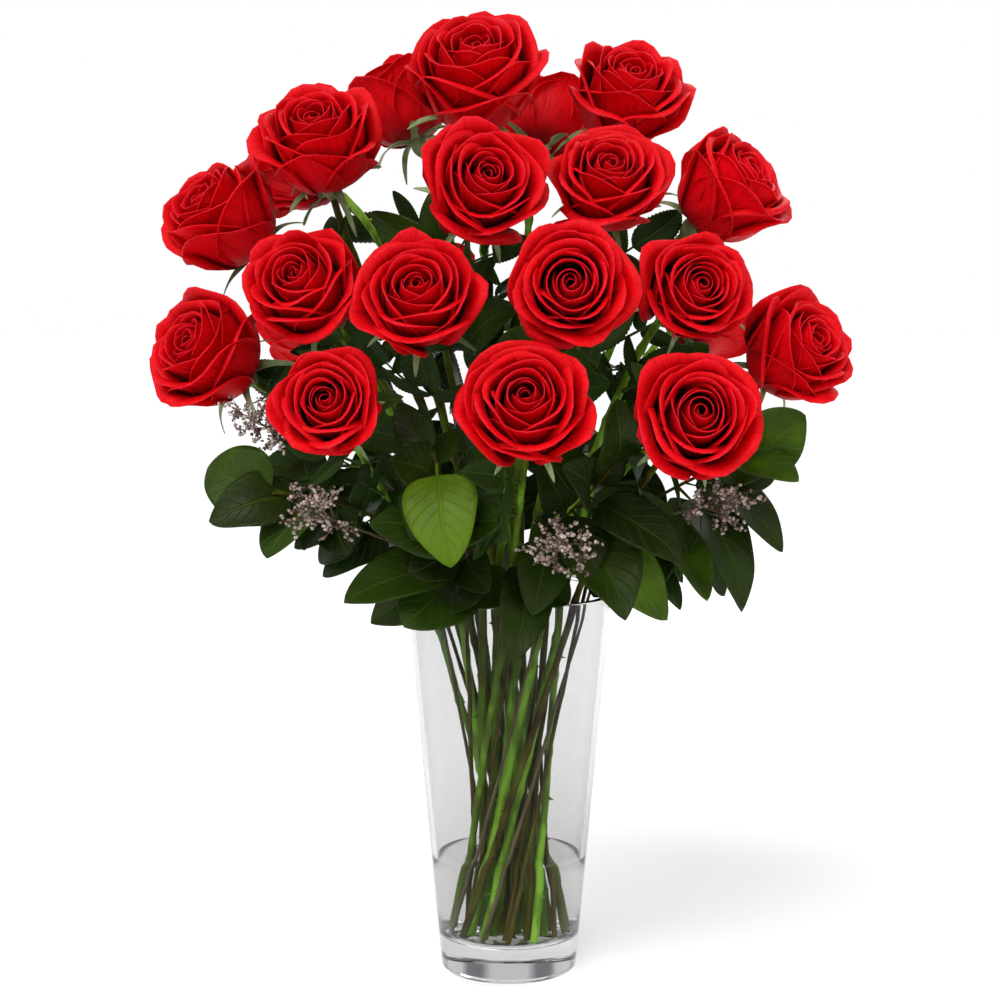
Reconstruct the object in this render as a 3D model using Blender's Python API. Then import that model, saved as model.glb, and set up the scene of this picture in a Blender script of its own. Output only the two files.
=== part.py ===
"""Two dozen red roses with lemon leaf and filler, standing in a tapered glass vase.

X runs to the right, Y to the back and Z up. The origin is the middle of the vase's foot.
Sizes are in metres. Tables of places are in millimetres and are scaled where they are read.
"""
import math

import bmesh
import bpy
from mathutils import Vector

MM = 0.001
TURN = 2.0 * math.pi

# The vase
VASE_HEIGHT = 0.230
RIM_RADIUS = 0.0615
FOOT_RADIUS = 0.0405
WALL = 0.0032
BASE_THICKNESS = 0.021
VASE_SIDES = 40

# Stems inside the vase: rings of seats on the glass floor, as (radius, how many)
SEAT_RINGS = [(0.0046, 3), (0.0135, 8), (0.0225, 11), (0.0315, 13)]
STEM_FLOOR_GAP = 0.0014
STEM_TWIST = math.radians(110)
STEM_SPREAD = 1.55
ROSE_STEM_RADIUS = 0.0026
GREEN_STEM_RADIUS = 0.0015
STEM_SIDES = 6
STEM_RINGS_ABOVE_RIM = 8

# The roses: a bloom of size 1 is 73 mm across
BLOOM_POINTS_PER_LOBE = 3
BLOOM_LOBES = 5
BLOOM_DEPTH_BELOW = 0.033
BLOOM_STEM_GAP = 0.0014
GOLDEN_ANGLE = math.radians(137.5)

# Leaves
LEAF_THICKNESS = 0.0010
PETIOLE_RADIUS = 0.0009
FACE_UP = 0.6
FACE_FORWARD = 0.9

# Rose table: middle of the bloom (mm), size, the way it faces
ROSES = [
    ((-20, -5, 533), 1.22, (0.00, -0.60, 0.80)),
    ((-66, 75, 522), 1.05, (-0.35, 0.20, 0.80)),
    ((69, 34, 523), 1.10, (0.22, -0.55, 0.80)),
    ((-108, -30, 493), 1.08, (-0.15, -0.58, 0.80)),
    ((-15, -72, 468), 1.05, (0.20, -0.90, 0.40)),
    ((56, -53, 470), 1.00, (0.05, -0.74, 0.65)),
    ((127, -10, 466), 1.10, (0.62, -0.38, 0.62)),
    ((-165, -8, 451), 1.12, (-0.58, -0.42, 0.62)),
    ((-113, -75, 411), 1.02, (-0.35, -0.78, 0.52)),
    ((-50, -115, 406), 1.02, (0.00, -0.86, 0.50)),
    ((32, -119, 414), 0.98, (0.00, -0.98, 0.20)),
    ((101, -85, 410), 0.92, (0.30, -0.90, 0.30)),
    ((-173, -30, 373), 1.10, (-0.58, -0.60, 0.45)),
    ((163, -40, 374), 1.04, (0.60, -0.60, 0.42)),
    ((-98, -125, 350), 0.88, (-0.10, -0.95, 0.30)),
    ((9, -151, 350), 1.04, (0.00, -0.86, 0.50)),
    ((99, -130, 343), 1.00, (0.10, -0.95, 0.30)),
    ((20, 82, 508), 1.05, (0.10, 0.60, 0.60)),
    ((-126, 66, 482), 0.95, (-0.65, 0.50, 0.45)),
    ((-124, 88, 385), 0.96, (-0.65, 0.70, 0.25)),
    ((-58, 126, 412), 1.00, (-0.25, 0.90, 0.40)),
    ((45, 124, 416), 0.98, (0.15, 0.95, 0.35)),
    ((122, 84, 392), 0.96, (0.65, 0.70, 0.30)),
    ((6, 146, 345), 1.00, (0.00, 0.95, 0.25)),
]

# Lemon leaf branches: where the twig ends (mm), the way it ends, then its leaves.
# A leaf is (how far along the twig above the rim, tip in mm, width in mm).
BRANCHES = [
    ((-42, -102, 322), (-0.25, -0.45, 0.80), [
        (0.12, (-58, -97, 226), 48),
        (0.20, (-80, -68, 222), 38),
        (0.27, (-92, -98, 236), 36),
        (0.40, (-72, -106, 284), 36),
        (0.45, (-8, -120, 288), 34),
        (0.93, (-34, -137, 267), 44),
        (0.82, (-66, -110, 320), 32),
        (0.95, (-64, -84, 348), 24),
    ]),
    ((-134, -64, 296), (-0.85, -0.35, 0.10), [
        (0.25, (-100, 38, 236), 38),
        (0.35, (-108, -16, 244), 40),
        (0.60, (-150, -4, 276), 42),
        (0.75, (-136, -86, 266), 40),
        (0.85, (-168, -76, 286), 38),
        (0.93, (-178, -46, 310), 44),
    ]),
    ((60, -84, 318), (0.35, -0.45, 0.80), [
        (0.28, (2, -92, 206), 34),
        (0.50, (88, -74, 226), 38),
        (0.59, (66, -102, 229), 42),
        (0.68, (38, -120, 314), 34),
        (0.70, (94, -112, 262), 38),
        (0.92, (60, -122, 348), 30),
    ]),
    ((134, -50, 316), (0.90, -0.20, 0.45), [
        (0.20, (104, -22, 226), 36),
        (0.35, (126, 2, 250), 42),
        (0.50, (112, -56, 232), 36),
        (0.66, (136, -76, 238), 42),
        (0.80, (158, -54, 262), 34),
        (0.90, (158, -80, 308), 32),
        (0.95, (168, -62, 338), 40),
    ]),
    ((-36, -22, 428), (-0.25, -0.35, 0.90), [
        (0.70, (2, -64, 404), 32),
        (0.78, (-68, -62, 430), 30),
        (0.90, (-78, -20, 456), 30),
        (0.98, (-48, -40, 464), 20),
    ]),
    ((-84, 78, 318), (-0.60, 0.60, 0.55), [
        (0.35, (-22, 112, 220), 46),
        (0.55, (-84, 94, 246), 46),
        (0.70, (-114, 48, 268), 42),
        (0.80, (-56, 130, 290), 42),
        (0.90, (-84, 118, 356), 36),
        (0.97, (-134, 98, 324), 42),
    ]),
    ((86, 74, 328), (0.65, 0.65, 0.00), [
        (0.30, (104, 56, 238), 42),
        (0.55, (42, 112, 234), 46),
        (0.60, (66, 126, 294), 42),
        (0.75, (142, 44, 314), 42),
        (0.90, (140, 96, 316), 38),
        (0.97, (98, 108, 362), 34),
    ]),
]

# Leaves of the roses' own stems: rose number, how far up the stem above the rim, tip and width (mm)
ROSE_LEAVES = [
    (4, 0.85, (-106, -34, 444), 24),
    (5, 0.78, (16, -46, 438), 22),
    (7, 0.80, (100, -24, 438), 22),
    (11, 0.72, (-8, -94, 380), 24),
    (13, 0.88, (-138, -52, 350), 22),
    (15, 0.90, (-58, -106, 356), 16),
    (17, 0.80, (64, -106, 374), 22),
    (20, 0.80, (-138, 50, 348), 24),
    (21, 0.75, (-22, 112, 372), 24),
    (22, 0.75, (72, 104, 374), 24),
    (23, 0.85, (136, 60, 348), 24),
    (24, 0.75, (34, 122, 318), 24),
]

# Filler sprigs: where the stem ends (mm), the way it ends, spread of the crown (mm)
SPRIGS = [
    ((28, -120, 274), (0.10, -0.90, 0.05), 21),
    ((-104, -106, 290), (-0.45, -0.70, 0.45), 20),
    ((-147, -62, 338), (-0.60, -0.45, 0.35), 13),
    ((120, -98, 294), (0.60, -0.65, 0.15), 16),
]

# Bloom profile for size 1: height and radius (mm), lobe depth, lobe turn in half lobes
BLOOM_PROFILE = [
    (-33.0, 3.4, 0.00, 0),
    (-27.0, 6.8, 0.00, 0),
    (-20.0, 14.0, 0.02, 0),
    (-11.0, 27.0, 0.04, 0),
    (-1.0, 33.5, 0.06, 0),
    (6.5, 36.5, 0.08, 0),
    (9.0, 29.0, 0.04, 1),
    (15.5, 26.0, 0.06, 1),
    (17.0, 18.5, 0.04, 0),
    (22.5, 13.5, 0.08, 0),
]
BLOOM_TOP = 21.0


def clear_scene():
    for old in list(bpy.data.objects):
        bpy.data.objects.remove(old, do_unlink=True)


def make_material(name, colour, roughness, metallic=0.0, clear=0.0):
    material = bpy.data.materials.new(name)
    material.use_nodes = True
    shader = material.node_tree.nodes["Principled BSDF"]
    shader.inputs["Base Color"].default_value = (*colour, 1.0)
    shader.inputs["Roughness"].default_value = roughness
    shader.inputs["Metallic"].default_value = metallic
    shader.inputs["Transmission Weight"].default_value = clear
    return material


def make_object(name, points, faces, material):
    """A closed mesh object with outward faces and edges that are sharp only at real corners."""
    mesh = bpy.data.meshes.new(name)
    mesh.from_pydata([tuple(p) for p in points], [], faces)
    shell = bmesh.new()
    shell.from_mesh(mesh)
    bmesh.ops.recalc_face_normals(shell, faces=shell.faces)
    shell.to_mesh(mesh)
    shell.free()
    mesh.polygons.foreach_set("use_smooth", [True] * len(mesh.polygons))
    mesh.set_sharp_from_angle(angle=math.radians(38))
    mesh.materials.append(material)
    solid = bpy.data.objects.new(name, mesh)
    bpy.context.scene.collection.objects.link(solid)
    return solid


def loft(rings):
    """Points and faces of a closed skin over rings that all have the same number of points."""
    points = [p for ring in rings for p in ring]
    count = len(rings[0])
    faces = []
    for level in range(len(rings) - 1):
        low = level * count
        for i in range(count):
            j = (i + 1) % count
            faces.append((low + i, low + j, low + count + j, low + count + i))
    faces.append(tuple(range(count - 1, -1, -1)))
    last = (len(rings) - 1) * count
    faces.append(tuple(range(last, last + count)))
    return points, faces


def side_vectors(axis):
    """Two unit vectors square to axis and to each other."""
    helper = Vector((0.0, 0.0, 1.0)) if abs(axis.z) < 0.9 else Vector((1.0, 0.0, 0.0))
    side = axis.cross(helper).normalized()
    return side, axis.cross(side).normalized()


def round_ring(middle, axis, radius, sides):
    side, up = side_vectors(axis)
    ring = []
    for i in range(sides):
        angle = TURN * i / sides
        ring.append(middle + radius * (math.cos(angle) * side + math.sin(angle) * up))
    return ring


def tube(path, radii, sides):
    """A closed tube along path. The first ring's directions are carried along it without twist."""
    side, up = side_vectors((path[1] - path[0]).normalized())
    rings = []
    for i, middle in enumerate(path):
        before = path[max(i - 1, 0)]
        after = path[min(i + 1, len(path) - 1)]
        along = (after - before).normalized()
        side = (side - along * side.dot(along)).normalized()
        up = along.cross(side)
        ring = []
        for k in range(sides):
            angle = TURN * k / sides
            ring.append(middle + radii[i] * (math.cos(angle) * side + math.sin(angle) * up))
        rings.append(ring)
    return loft(rings)


def curve_point(start, start_push, end, end_push, t):
    """A point on the smooth curve that leaves start along start_push and reaches end along end_push."""
    a = 2.0 * t ** 3 - 3.0 * t ** 2 + 1.0
    b = t ** 3 - 2.0 * t ** 2 + t
    c = -2.0 * t ** 3 + 3.0 * t ** 2
    d = t ** 3 - t ** 2
    return a * start + b * start_push + c * end + d * end_push


def vase_outer_radius(z):
    return FOOT_RADIUS + (RIM_RADIUS - FOOT_RADIUS) * z / VASE_HEIGHT


def build_vase(glass):
    """A straight-sided tapered tumbler with a heavy base, turned from one closed outline."""
    lip = WALL / 2.0
    outline = [
        (FOOT_RADIUS - 0.0022, 0.0),
        (vase_outer_radius(0.0022), 0.0022),
        (vase_outer_radius(0.110), 0.110),
        (RIM_RADIUS, VASE_HEIGHT - lip),
        (RIM_RADIUS - lip * 0.5, VASE_HEIGHT),
        (RIM_RADIUS - lip * 1.5, VASE_HEIGHT),
        (RIM_RADIUS - WALL, VASE_HEIGHT - lip),
        (vase_outer_radius(0.110) - WALL, 0.110),
        (vase_outer_radius(0.027) - WALL, BASE_THICKNESS + 0.006),
        (vase_outer_radius(0.021) - WALL - 0.0045, BASE_THICKNESS),
    ]
    rings = []
    for radius, z in outline:
        rings.append(round_ring(Vector((0.0, 0.0, z)), Vector((0.0, 0.0, 1.0)), radius, VASE_SIDES))
    points, faces = loft(rings)
    return make_object("glass_vase", points, faces, glass)


def spread_of(target):
    """How far a stem leans out: its reach from the middle over its rise above the rim."""
    return math.hypot(target.x, target.y) / (target.z - VASE_HEIGHT + 0.06)


def turned(angle):
    """The same angle brought into the half turn either side of zero."""
    return (angle + math.pi) % TURN - math.pi


def seat_stems(targets):
    """Pick a seat on the vase floor for each target: upright stems in the middle, leaning ones outside.

    Round each ring the stems keep the order of their targets, so that none has to cross another.
    """
    order = sorted(range(len(targets)), key=lambda i: spread_of(targets[i]))
    seats = [None] * len(targets)
    first = 0
    for radius, count in SEAT_RINGS:
        members = order[first:first + count]
        first += count
        members.sort(key=lambda i: math.atan2(targets[i].y, targets[i].x))
        step = TURN / len(members)
        sine = 0.0
        cosine = 0.0
        for place, i in enumerate(members):
            miss = math.atan2(targets[i].y, targets[i].x) - place * step
            sine += math.sin(miss)
            cosine += math.cos(miss)
        start = math.atan2(sine, cosine) - STEM_TWIST - math.radians(14)
        for place, i in enumerate(members):
            seats[i] = (radius, start + place * step)
    return seats


def stem_ends(seat):
    """Where a stem stands on the vase floor and where it passes the rim."""
    radius, angle = seat
    floor = Vector((radius * math.cos(angle), radius * math.sin(angle), BASE_THICKNESS + STEM_FLOOR_GAP))
    angle += STEM_TWIST
    radius *= STEM_SPREAD
    return floor, Vector((radius * math.cos(angle), radius * math.sin(angle), VASE_HEIGHT))


def point_above_rim(seat, target, arrive, t):
    """A point of the curved part of a stem, from the rim (t = 0) to its target (t = 1)."""
    floor, rim = stem_ends(seat)
    reach = (target - rim).length
    leave = (rim - floor).normalized() * reach
    return curve_point(rim, leave, target, arrive * reach * 0.8, t)


def stem_path(seat, target, arrive):
    floor, rim = stem_ends(seat)
    path = [floor, floor.lerp(rim, 0.5)]
    for i in range(STEM_RINGS_ABOVE_RIM):
        path.append(point_above_rim(seat, target, arrive, i / (STEM_RINGS_ABOVE_RIM - 1)))
    return path


def bloom_base(middle, facing, size):
    return middle - facing * (BLOOM_DEPTH_BELOW * size + BLOOM_STEM_GAP)


def build_bloom(name, middle, facing, size, turn, red):
    """A rose head: green hip, cupped outer petals in five lobes, and two tighter tiers inside."""
    side, up = side_vectors(facing)
    sides = BLOOM_LOBES * BLOOM_POINTS_PER_LOBE
    rings = []
    for height, radius, lobe, shift in BLOOM_PROFILE:
        ring = []
        for i in range(sides):
            angle = TURN * i / sides
            wave = math.cos(BLOOM_LOBES * angle + shift * math.pi)
            reach = radius * MM * size * (1.0 + lobe * wave)
            lift = height * MM * size
            ring.append(
                middle
                + facing * lift
                + reach * (math.cos(angle + turn) * side + math.sin(angle + turn) * up)
            )
        rings.append(ring)
    points, faces = loft(rings)
    top = len(points)
    points.append(middle + facing * (BLOOM_TOP * MM * size))
    faces.pop()
    last = top - sides
    for i in range(sides):
        faces.append((last + i, last + (i + 1) % sides, top))
    return make_object(name, points, faces, red)


def build_roses(seats, stem_green, red):
    for number, ((x, y, z), size, way) in enumerate(ROSES):
        middle = Vector((x, y, z)) * MM
        facing = Vector(way).normalized()
        base = bloom_base(middle, facing, size)
        path = stem_path(seats[number], base, facing)
        radii = [ROSE_STEM_RADIUS] * (len(path) - 1) + [ROSE_STEM_RADIUS * 0.9]
        points, faces = tube(path, radii, STEM_SIDES)
        pieces = [make_object("stem", points, faces, stem_green)]
        for rose, t, leaf_tip, width in ROSE_LEAVES:
            if rose == number + 1:
                root = point_above_rim(seats[number], base, facing, t)
                pieces.append(leaf_piece("leaf", root, Vector(leaf_tip) * MM, width * MM, stem_green))
        join_pieces(f"rose_{number + 1:02d}_stem", pieces)
        turn = GOLDEN_ANGLE * number
        build_bloom(f"rose_{number + 1:02d}_bloom", middle, facing, size, turn, red)


def leaf_frame(root, tip):
    """Length, direction, side and upper-face directions of a leaf.

    The face looks outward and up, and is also turned towards the front or the back of the bouquet,
    whichever it is nearer to, so that it is seen flat and not on its edge.
    """
    along = tip - root
    length = along.length
    along.normalize()
    middle = (root + tip) / 2.0
    turned_out = -FACE_FORWARD if middle.y < 0.0 else FACE_FORWARD
    outward = Vector((middle.x, middle.y, 0.0)).normalized() + Vector((0.0, turned_out, FACE_UP))
    face = (outward - along * outward.dot(along)).normalized()
    return length, along, face.cross(along), face


def leaf_piece(name, root, tip, width, green):
    """One leaf: a thin petiole from inside the twig, then a pointed oval blade folded at its rib."""
    length, along, side, face = leaf_frame(root, tip)
    half = width / 2.0
    thick = LEAF_THICKNESS / 2.0
    stations = [
        (0.00, PETIOLE_RADIUS, PETIOLE_RADIUS),
        (0.15, PETIOLE_RADIUS, PETIOLE_RADIUS),
        (0.26, half * 0.74, thick),
        (0.43, half, thick),
        (0.63, half * 0.93, thick),
        (0.82, half * 0.56, thick),
        (1.00, half * 0.03, thick * 0.6),
    ]
    rings = []
    for t, wide, deep in stations:
        arch = 0.07 * length * math.sin(math.pi * t)
        rib = root + along * (length * t) + face * arch
        fold = face * (0.22 * max(wide - PETIOLE_RADIUS, 0.0))
        rings.append([
            rib - side * wide + fold,
            rib - face * deep,
            rib + side * wide + fold,
            rib + face * deep,
        ])
    points, faces = loft(rings)
    return make_object(name, points, faces, green)


def join_pieces(name, pieces):
    """Join solids that run into each other into one closed body."""
    whole = pieces[0]
    whole.name = name
    for piece in pieces[1:]:
        union = whole.modifiers.new("join", "BOOLEAN")
        union.operation = "UNION"
        union.solver = "EXACT"
        union.object = piece
        scene_now = bpy.context.evaluated_depsgraph_get()
        joined = bpy.data.meshes.new_from_object(whole.evaluated_get(scene_now))
        whole.modifiers.clear()
        whole.data = joined
        bpy.data.objects.remove(piece, do_unlink=True)
    whole.data.polygons.foreach_set("use_smooth", [True] * len(whole.data.polygons))
    whole.data.set_sharp_from_angle(angle=math.radians(38))
    return whole


def build_branch(number, seat, leaf_green):
    (x, y, z), way, leaves = BRANCHES[number]
    target = Vector((x, y, z)) * MM
    arrive = Vector(way).normalized()
    path = stem_path(seat, target, arrive)
    radii = []
    for i in range(len(path)):
        radii.append(GREEN_STEM_RADIUS * (1.0 - 0.35 * i / (len(path) - 1)))
    points, faces = tube(path, radii, STEM_SIDES)
    pieces = [make_object("twig", points, faces, leaf_green)]
    for t, (tip_x, tip_y, tip_z), width in leaves:
        root = point_above_rim(seat, target, arrive, t)
        tip = Vector((tip_x, tip_y, tip_z)) * MM
        pieces.append(leaf_piece("leaf", root, tip, width * MM, leaf_green))
    join_pieces(f"lemon_leaf_branch_{number + 1}", pieces)


def build_sprig(number, seat, filler_brown):
    """A thin stem that forks into fine twigs, each with a round cluster of dry buds at its end."""
    (x, y, z), way, spread = SPRIGS[number]
    target = Vector((x, y, z)) * MM
    arrive = Vector(way).normalized()
    path = stem_path(seat, target, arrive)
    radii = [GREEN_STEM_RADIUS * 0.85] * len(path)
    points, faces = tube(path, radii, STEM_SIDES)
    pieces = [make_object("stem", points, faces, filler_brown)]
    side, up = side_vectors(arrive)
    for k in range(6):
        angle = GOLDEN_ANGLE * k
        fork = point_above_rim(seat, target, arrive, 0.80 + 0.035 * k)
        lean = 0.95 - 0.12 * k
        way_out = (arrive + lean * (math.cos(angle) * side + math.sin(angle) * up)).normalized()
        end = fork + way_out * (spread * MM)
        points, faces = tube([fork, end], [0.0007, 0.0007], 5)
        pieces.append(make_object("twig", points, faces, filler_brown))
        buds = bmesh.new()
        bmesh.ops.create_icosphere(buds, subdivisions=1, radius=0.0042)
        bud_points = [end + v.co for v in buds.verts]
        bud_faces = [tuple(v.index for v in f.verts) for f in buds.faces]
        buds.free()
        pieces.append(make_object("buds", bud_points, bud_faces, filler_brown))
    join_pieces(f"filler_sprig_{number + 1}", pieces)


def main():
    clear_scene()
    glass = make_material("glass", (0.93, 0.96, 0.96), 0.03, clear=1.0)
    red = make_material("petal", (0.60, 0.004, 0.012), 0.55)
    stem_green = make_material("stem", (0.075, 0.20, 0.035), 0.50)
    leaf_green = make_material("leaf", (0.030, 0.085, 0.012), 0.40)
    filler_brown = make_material("filler", (0.26, 0.17, 0.14), 0.80)

    targets = []
    for (x, y, z), size, way in ROSES:
        targets.append(bloom_base(Vector((x, y, z)) * MM, Vector(way).normalized(), size))
    for place, way, leaves in BRANCHES:
        targets.append(Vector(place) * MM)
    for place, way, spread in SPRIGS:
        targets.append(Vector(place) * MM)
    seats = seat_stems(targets)

    build_vase(glass)
    build_roses(seats, stem_green, red)
    for number in range(len(BRANCHES)):
        build_branch(number, seats[len(ROSES) + number], leaf_green)
    for number in range(len(SPRIGS)):
        build_sprig(number, seats[len(ROSES) + len(BRANCHES) + number], filler_brown)


main()
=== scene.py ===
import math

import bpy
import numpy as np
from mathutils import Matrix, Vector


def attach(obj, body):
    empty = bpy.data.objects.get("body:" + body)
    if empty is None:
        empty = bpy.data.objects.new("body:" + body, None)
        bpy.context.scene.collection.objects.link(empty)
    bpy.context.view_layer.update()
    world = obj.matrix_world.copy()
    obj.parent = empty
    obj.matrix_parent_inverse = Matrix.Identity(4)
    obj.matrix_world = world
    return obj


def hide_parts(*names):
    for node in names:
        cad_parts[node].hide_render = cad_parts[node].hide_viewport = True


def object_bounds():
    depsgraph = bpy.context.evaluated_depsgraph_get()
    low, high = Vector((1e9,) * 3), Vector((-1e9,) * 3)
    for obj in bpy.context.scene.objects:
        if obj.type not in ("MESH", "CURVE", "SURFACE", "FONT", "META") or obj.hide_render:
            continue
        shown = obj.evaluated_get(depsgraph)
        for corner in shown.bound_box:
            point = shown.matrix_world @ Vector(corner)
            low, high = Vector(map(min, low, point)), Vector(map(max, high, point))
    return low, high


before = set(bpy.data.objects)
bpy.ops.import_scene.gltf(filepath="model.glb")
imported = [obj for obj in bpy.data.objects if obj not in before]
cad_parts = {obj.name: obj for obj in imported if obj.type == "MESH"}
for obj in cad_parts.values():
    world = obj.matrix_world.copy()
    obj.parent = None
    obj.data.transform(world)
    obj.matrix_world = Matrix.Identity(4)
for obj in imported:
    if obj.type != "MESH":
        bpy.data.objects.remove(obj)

# %% [markdown]
# # Two dozen red roses in a glass vase
#
# The CAD part is the frame: it says where every stem, bloom, branch, sprig and the vase is. Here each of those
# pieces is built again with the detail that the eye expects, in the same place and under the same name.
# Sizes are in metres. X runs to the right, Y to the back and Z up, from the middle of the vase's foot.

MM = 0.001
TURN = 2.0 * math.pi
GOLDEN_ANGLE = math.radians(137.5)

cad_low, cad_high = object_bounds()
cad_low, cad_high = tuple(cad_low), tuple(cad_high)
scene = bpy.context.scene
print("the CAD box runs from", [round(v, 3) for v in cad_low], "to", [round(v, 3) for v in cad_high])

# %% [markdown]
# ## Where everything stands
#
# A bouquet is laid out from its blooms. Each rose has a place for the middle of its head, a size and the way it
# faces. Branches and sprigs have a place where they end and the way they end. Each leaf has a place on its twig
# and a tip. These are the same tables that the CAD part was made from, so that looks and frame agree.

# %%
# The layout tables, in millimetres

# middle of the bloom, size (1 is 73 mm across), the way it faces
ROSES = [
    ((-20, -5, 533), 1.22, (0.00, -0.60, 0.80)),
    ((-66, 75, 522), 1.05, (-0.35, 0.20, 0.80)),
    ((69, 34, 523), 1.10, (0.22, -0.55, 0.80)),
    ((-108, -30, 493), 1.08, (-0.15, -0.58, 0.80)),
    ((-15, -72, 468), 1.05, (0.20, -0.90, 0.40)),
    ((56, -53, 470), 1.00, (0.05, -0.74, 0.65)),
    ((127, -10, 466), 1.10, (0.62, -0.38, 0.62)),
    ((-165, -8, 451), 1.12, (-0.58, -0.42, 0.62)),
    ((-113, -75, 411), 1.02, (-0.35, -0.78, 0.52)),
    ((-50, -115, 406), 1.02, (0.00, -0.86, 0.50)),
    ((32, -119, 414), 0.98, (0.00, -0.98, 0.20)),
    ((101, -85, 410), 0.92, (0.30, -0.90, 0.30)),
    ((-173, -30, 373), 1.10, (-0.58, -0.60, 0.45)),
    ((163, -40, 374), 1.04, (0.60, -0.60, 0.42)),
    ((-98, -125, 350), 0.88, (-0.10, -0.95, 0.30)),
    ((9, -151, 350), 1.04, (0.00, -0.86, 0.50)),
    ((99, -130, 343), 1.00, (0.10, -0.95, 0.30)),
    ((20, 82, 508), 1.05, (0.10, 0.60, 0.60)),
    ((-126, 66, 482), 0.95, (-0.65, 0.50, 0.45)),
    ((-124, 88, 385), 0.96, (-0.65, 0.70, 0.25)),
    ((-58, 126, 412), 1.00, (-0.25, 0.90, 0.40)),
    ((45, 124, 416), 0.98, (0.15, 0.95, 0.35)),
    ((122, 84, 392), 0.96, (0.65, 0.70, 0.30)),
    ((6, 146, 345), 1.00, (0.00, 0.95, 0.25)),
]

# where the twig ends, the way it ends, then its leaves: place along the twig above the rim, tip, width
BRANCHES = [
    ((-42, -102, 322), (-0.25, -0.45, 0.80), [
        (0.12, (-58, -97, 226), 48), (0.20, (-80, -68, 222), 38), (0.27, (-92, -98, 236), 36),
        (0.40, (-72, -106, 284), 36), (0.45, (-8, -120, 288), 34), (0.93, (-34, -137, 267), 44),
        (0.82, (-66, -110, 320), 32), (0.95, (-64, -84, 348), 24),
    ]),
    ((-134, -64, 296), (-0.85, -0.35, 0.10), [
        (0.25, (-100, 38, 236), 38), (0.35, (-108, -16, 244), 40), (0.60, (-150, -4, 276), 42),
        (0.75, (-136, -86, 266), 40), (0.85, (-168, -76, 286), 38), (0.93, (-178, -46, 310), 44),
    ]),
    ((60, -84, 318), (0.35, -0.45, 0.80), [
        (0.28, (2, -92, 206), 34), (0.50, (88, -74, 226), 38), (0.59, (66, -102, 229), 42),
        (0.68, (38, -120, 314), 34), (0.70, (94, -112, 262), 38), (0.92, (60, -122, 348), 30),
    ]),
    ((134, -50, 316), (0.90, -0.20, 0.45), [
        (0.20, (104, -22, 226), 36), (0.35, (126, 2, 250), 42), (0.50, (112, -56, 232), 36),
        (0.66, (136, -76, 238), 42), (0.80, (158, -54, 262), 34), (0.90, (158, -80, 308), 32),
        (0.95, (168, -62, 338), 40),
    ]),
    ((-36, -22, 428), (-0.25, -0.35, 0.90), [
        (0.70, (2, -64, 404), 32), (0.78, (-68, -62, 430), 30), (0.90, (-78, -20, 456), 30),
        (0.98, (-48, -40, 464), 20),
    ]),
    ((-84, 78, 318), (-0.60, 0.60, 0.55), [
        (0.35, (-22, 112, 220), 46), (0.55, (-84, 94, 246), 46), (0.70, (-114, 48, 268), 42),
        (0.80, (-56, 130, 290), 42), (0.90, (-84, 118, 356), 36), (0.97, (-134, 98, 324), 42),
    ]),
    ((86, 74, 328), (0.65, 0.65, 0.00), [
        (0.30, (104, 56, 238), 42), (0.55, (42, 112, 234), 46), (0.60, (66, 126, 294), 42),
        (0.75, (142, 44, 314), 42), (0.90, (140, 96, 316), 38), (0.97, (98, 108, 362), 34),
    ]),
]

# leaves of the roses' own stems: rose number, place along the stem above the rim, tip, width
ROSE_LEAVES = [
    (4, 0.85, (-106, -34, 444), 24), (5, 0.78, (16, -46, 438), 22), (7, 0.80, (100, -24, 438), 22),
    (11, 0.72, (-8, -94, 380), 24), (13, 0.88, (-138, -52, 350), 22), (15, 0.90, (-58, -106, 356), 16),
    (17, 0.80, (64, -106, 374), 22), (20, 0.80, (-138, 50, 348), 24), (21, 0.75, (-22, 112, 372), 24),
    (22, 0.75, (72, 104, 374), 24), (23, 0.85, (136, 60, 348), 24), (24, 0.75, (34, 122, 318), 24),
]

# where the sprig's stem ends, the way it ends, spread of its crown
SPRIGS = [
    ((28, -120, 274), (0.10, -0.90, 0.05), 21),
    ((-104, -106, 290), (-0.45, -0.70, 0.45), 20),
    ((-147, -62, 338), (-0.60, -0.45, 0.35), 13),
    ((120, -98, 294), (0.60, -0.65, 0.15), 16),
]

# the vase, and how stems stand in it
VASE_HEIGHT = 0.230
RIM_RADIUS = 0.0615
FOOT_RADIUS = 0.0405
WALL = 0.0032
BASE_THICKNESS = 0.021
SEAT_RINGS = [(0.0046, 3), (0.0135, 8), (0.0225, 11), (0.0315, 13)]
STEM_FLOOR_GAP = 0.0014
STEM_TWIST = math.radians(110)
STEM_SPREAD = 1.55
ROSE_STEM_RADIUS = 0.0026
GREEN_STEM_RADIUS = 0.0015
BLOOM_DEPTH_BELOW = 0.033
BLOOM_STEM_GAP = 0.0014
LEAN_ORIGIN = 0.06  # below the rim, from where a stem's lean is counted
SEAT_TURN = math.radians(14)
ARRIVAL_PUSH = 0.8  # how firmly a stem holds the way it ends, as a share of its reach
print(len(ROSES), "roses,", sum(len(b[2]) for b in BRANCHES), "broad leaves,", len(SPRIGS), "sprigs")

# %% [markdown]
# ## The paths of the stems
#
# All stems stand just clear of the vase's glass floor, cross in a waist a third of the way up and pass inside
# the rim without touching it. Each one gets a seat in a ring on the floor: upright stems in the middle rings and
# leaning ones outside. Going up to the rim every seat turns by the same angle, and that shared twist makes the
# waist. Above the rim a stem follows one smooth curve to its bloom.

# %%
# Functions for stem paths


def side_vectors(axis):
    """Two unit vectors square to axis and to each other."""
    helper = Vector((0.0, 0.0, 1.0)) if abs(axis.z) < 0.9 else Vector((1.0, 0.0, 0.0))
    side = axis.cross(helper).normalized()
    return side, axis.cross(side).normalized()


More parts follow.
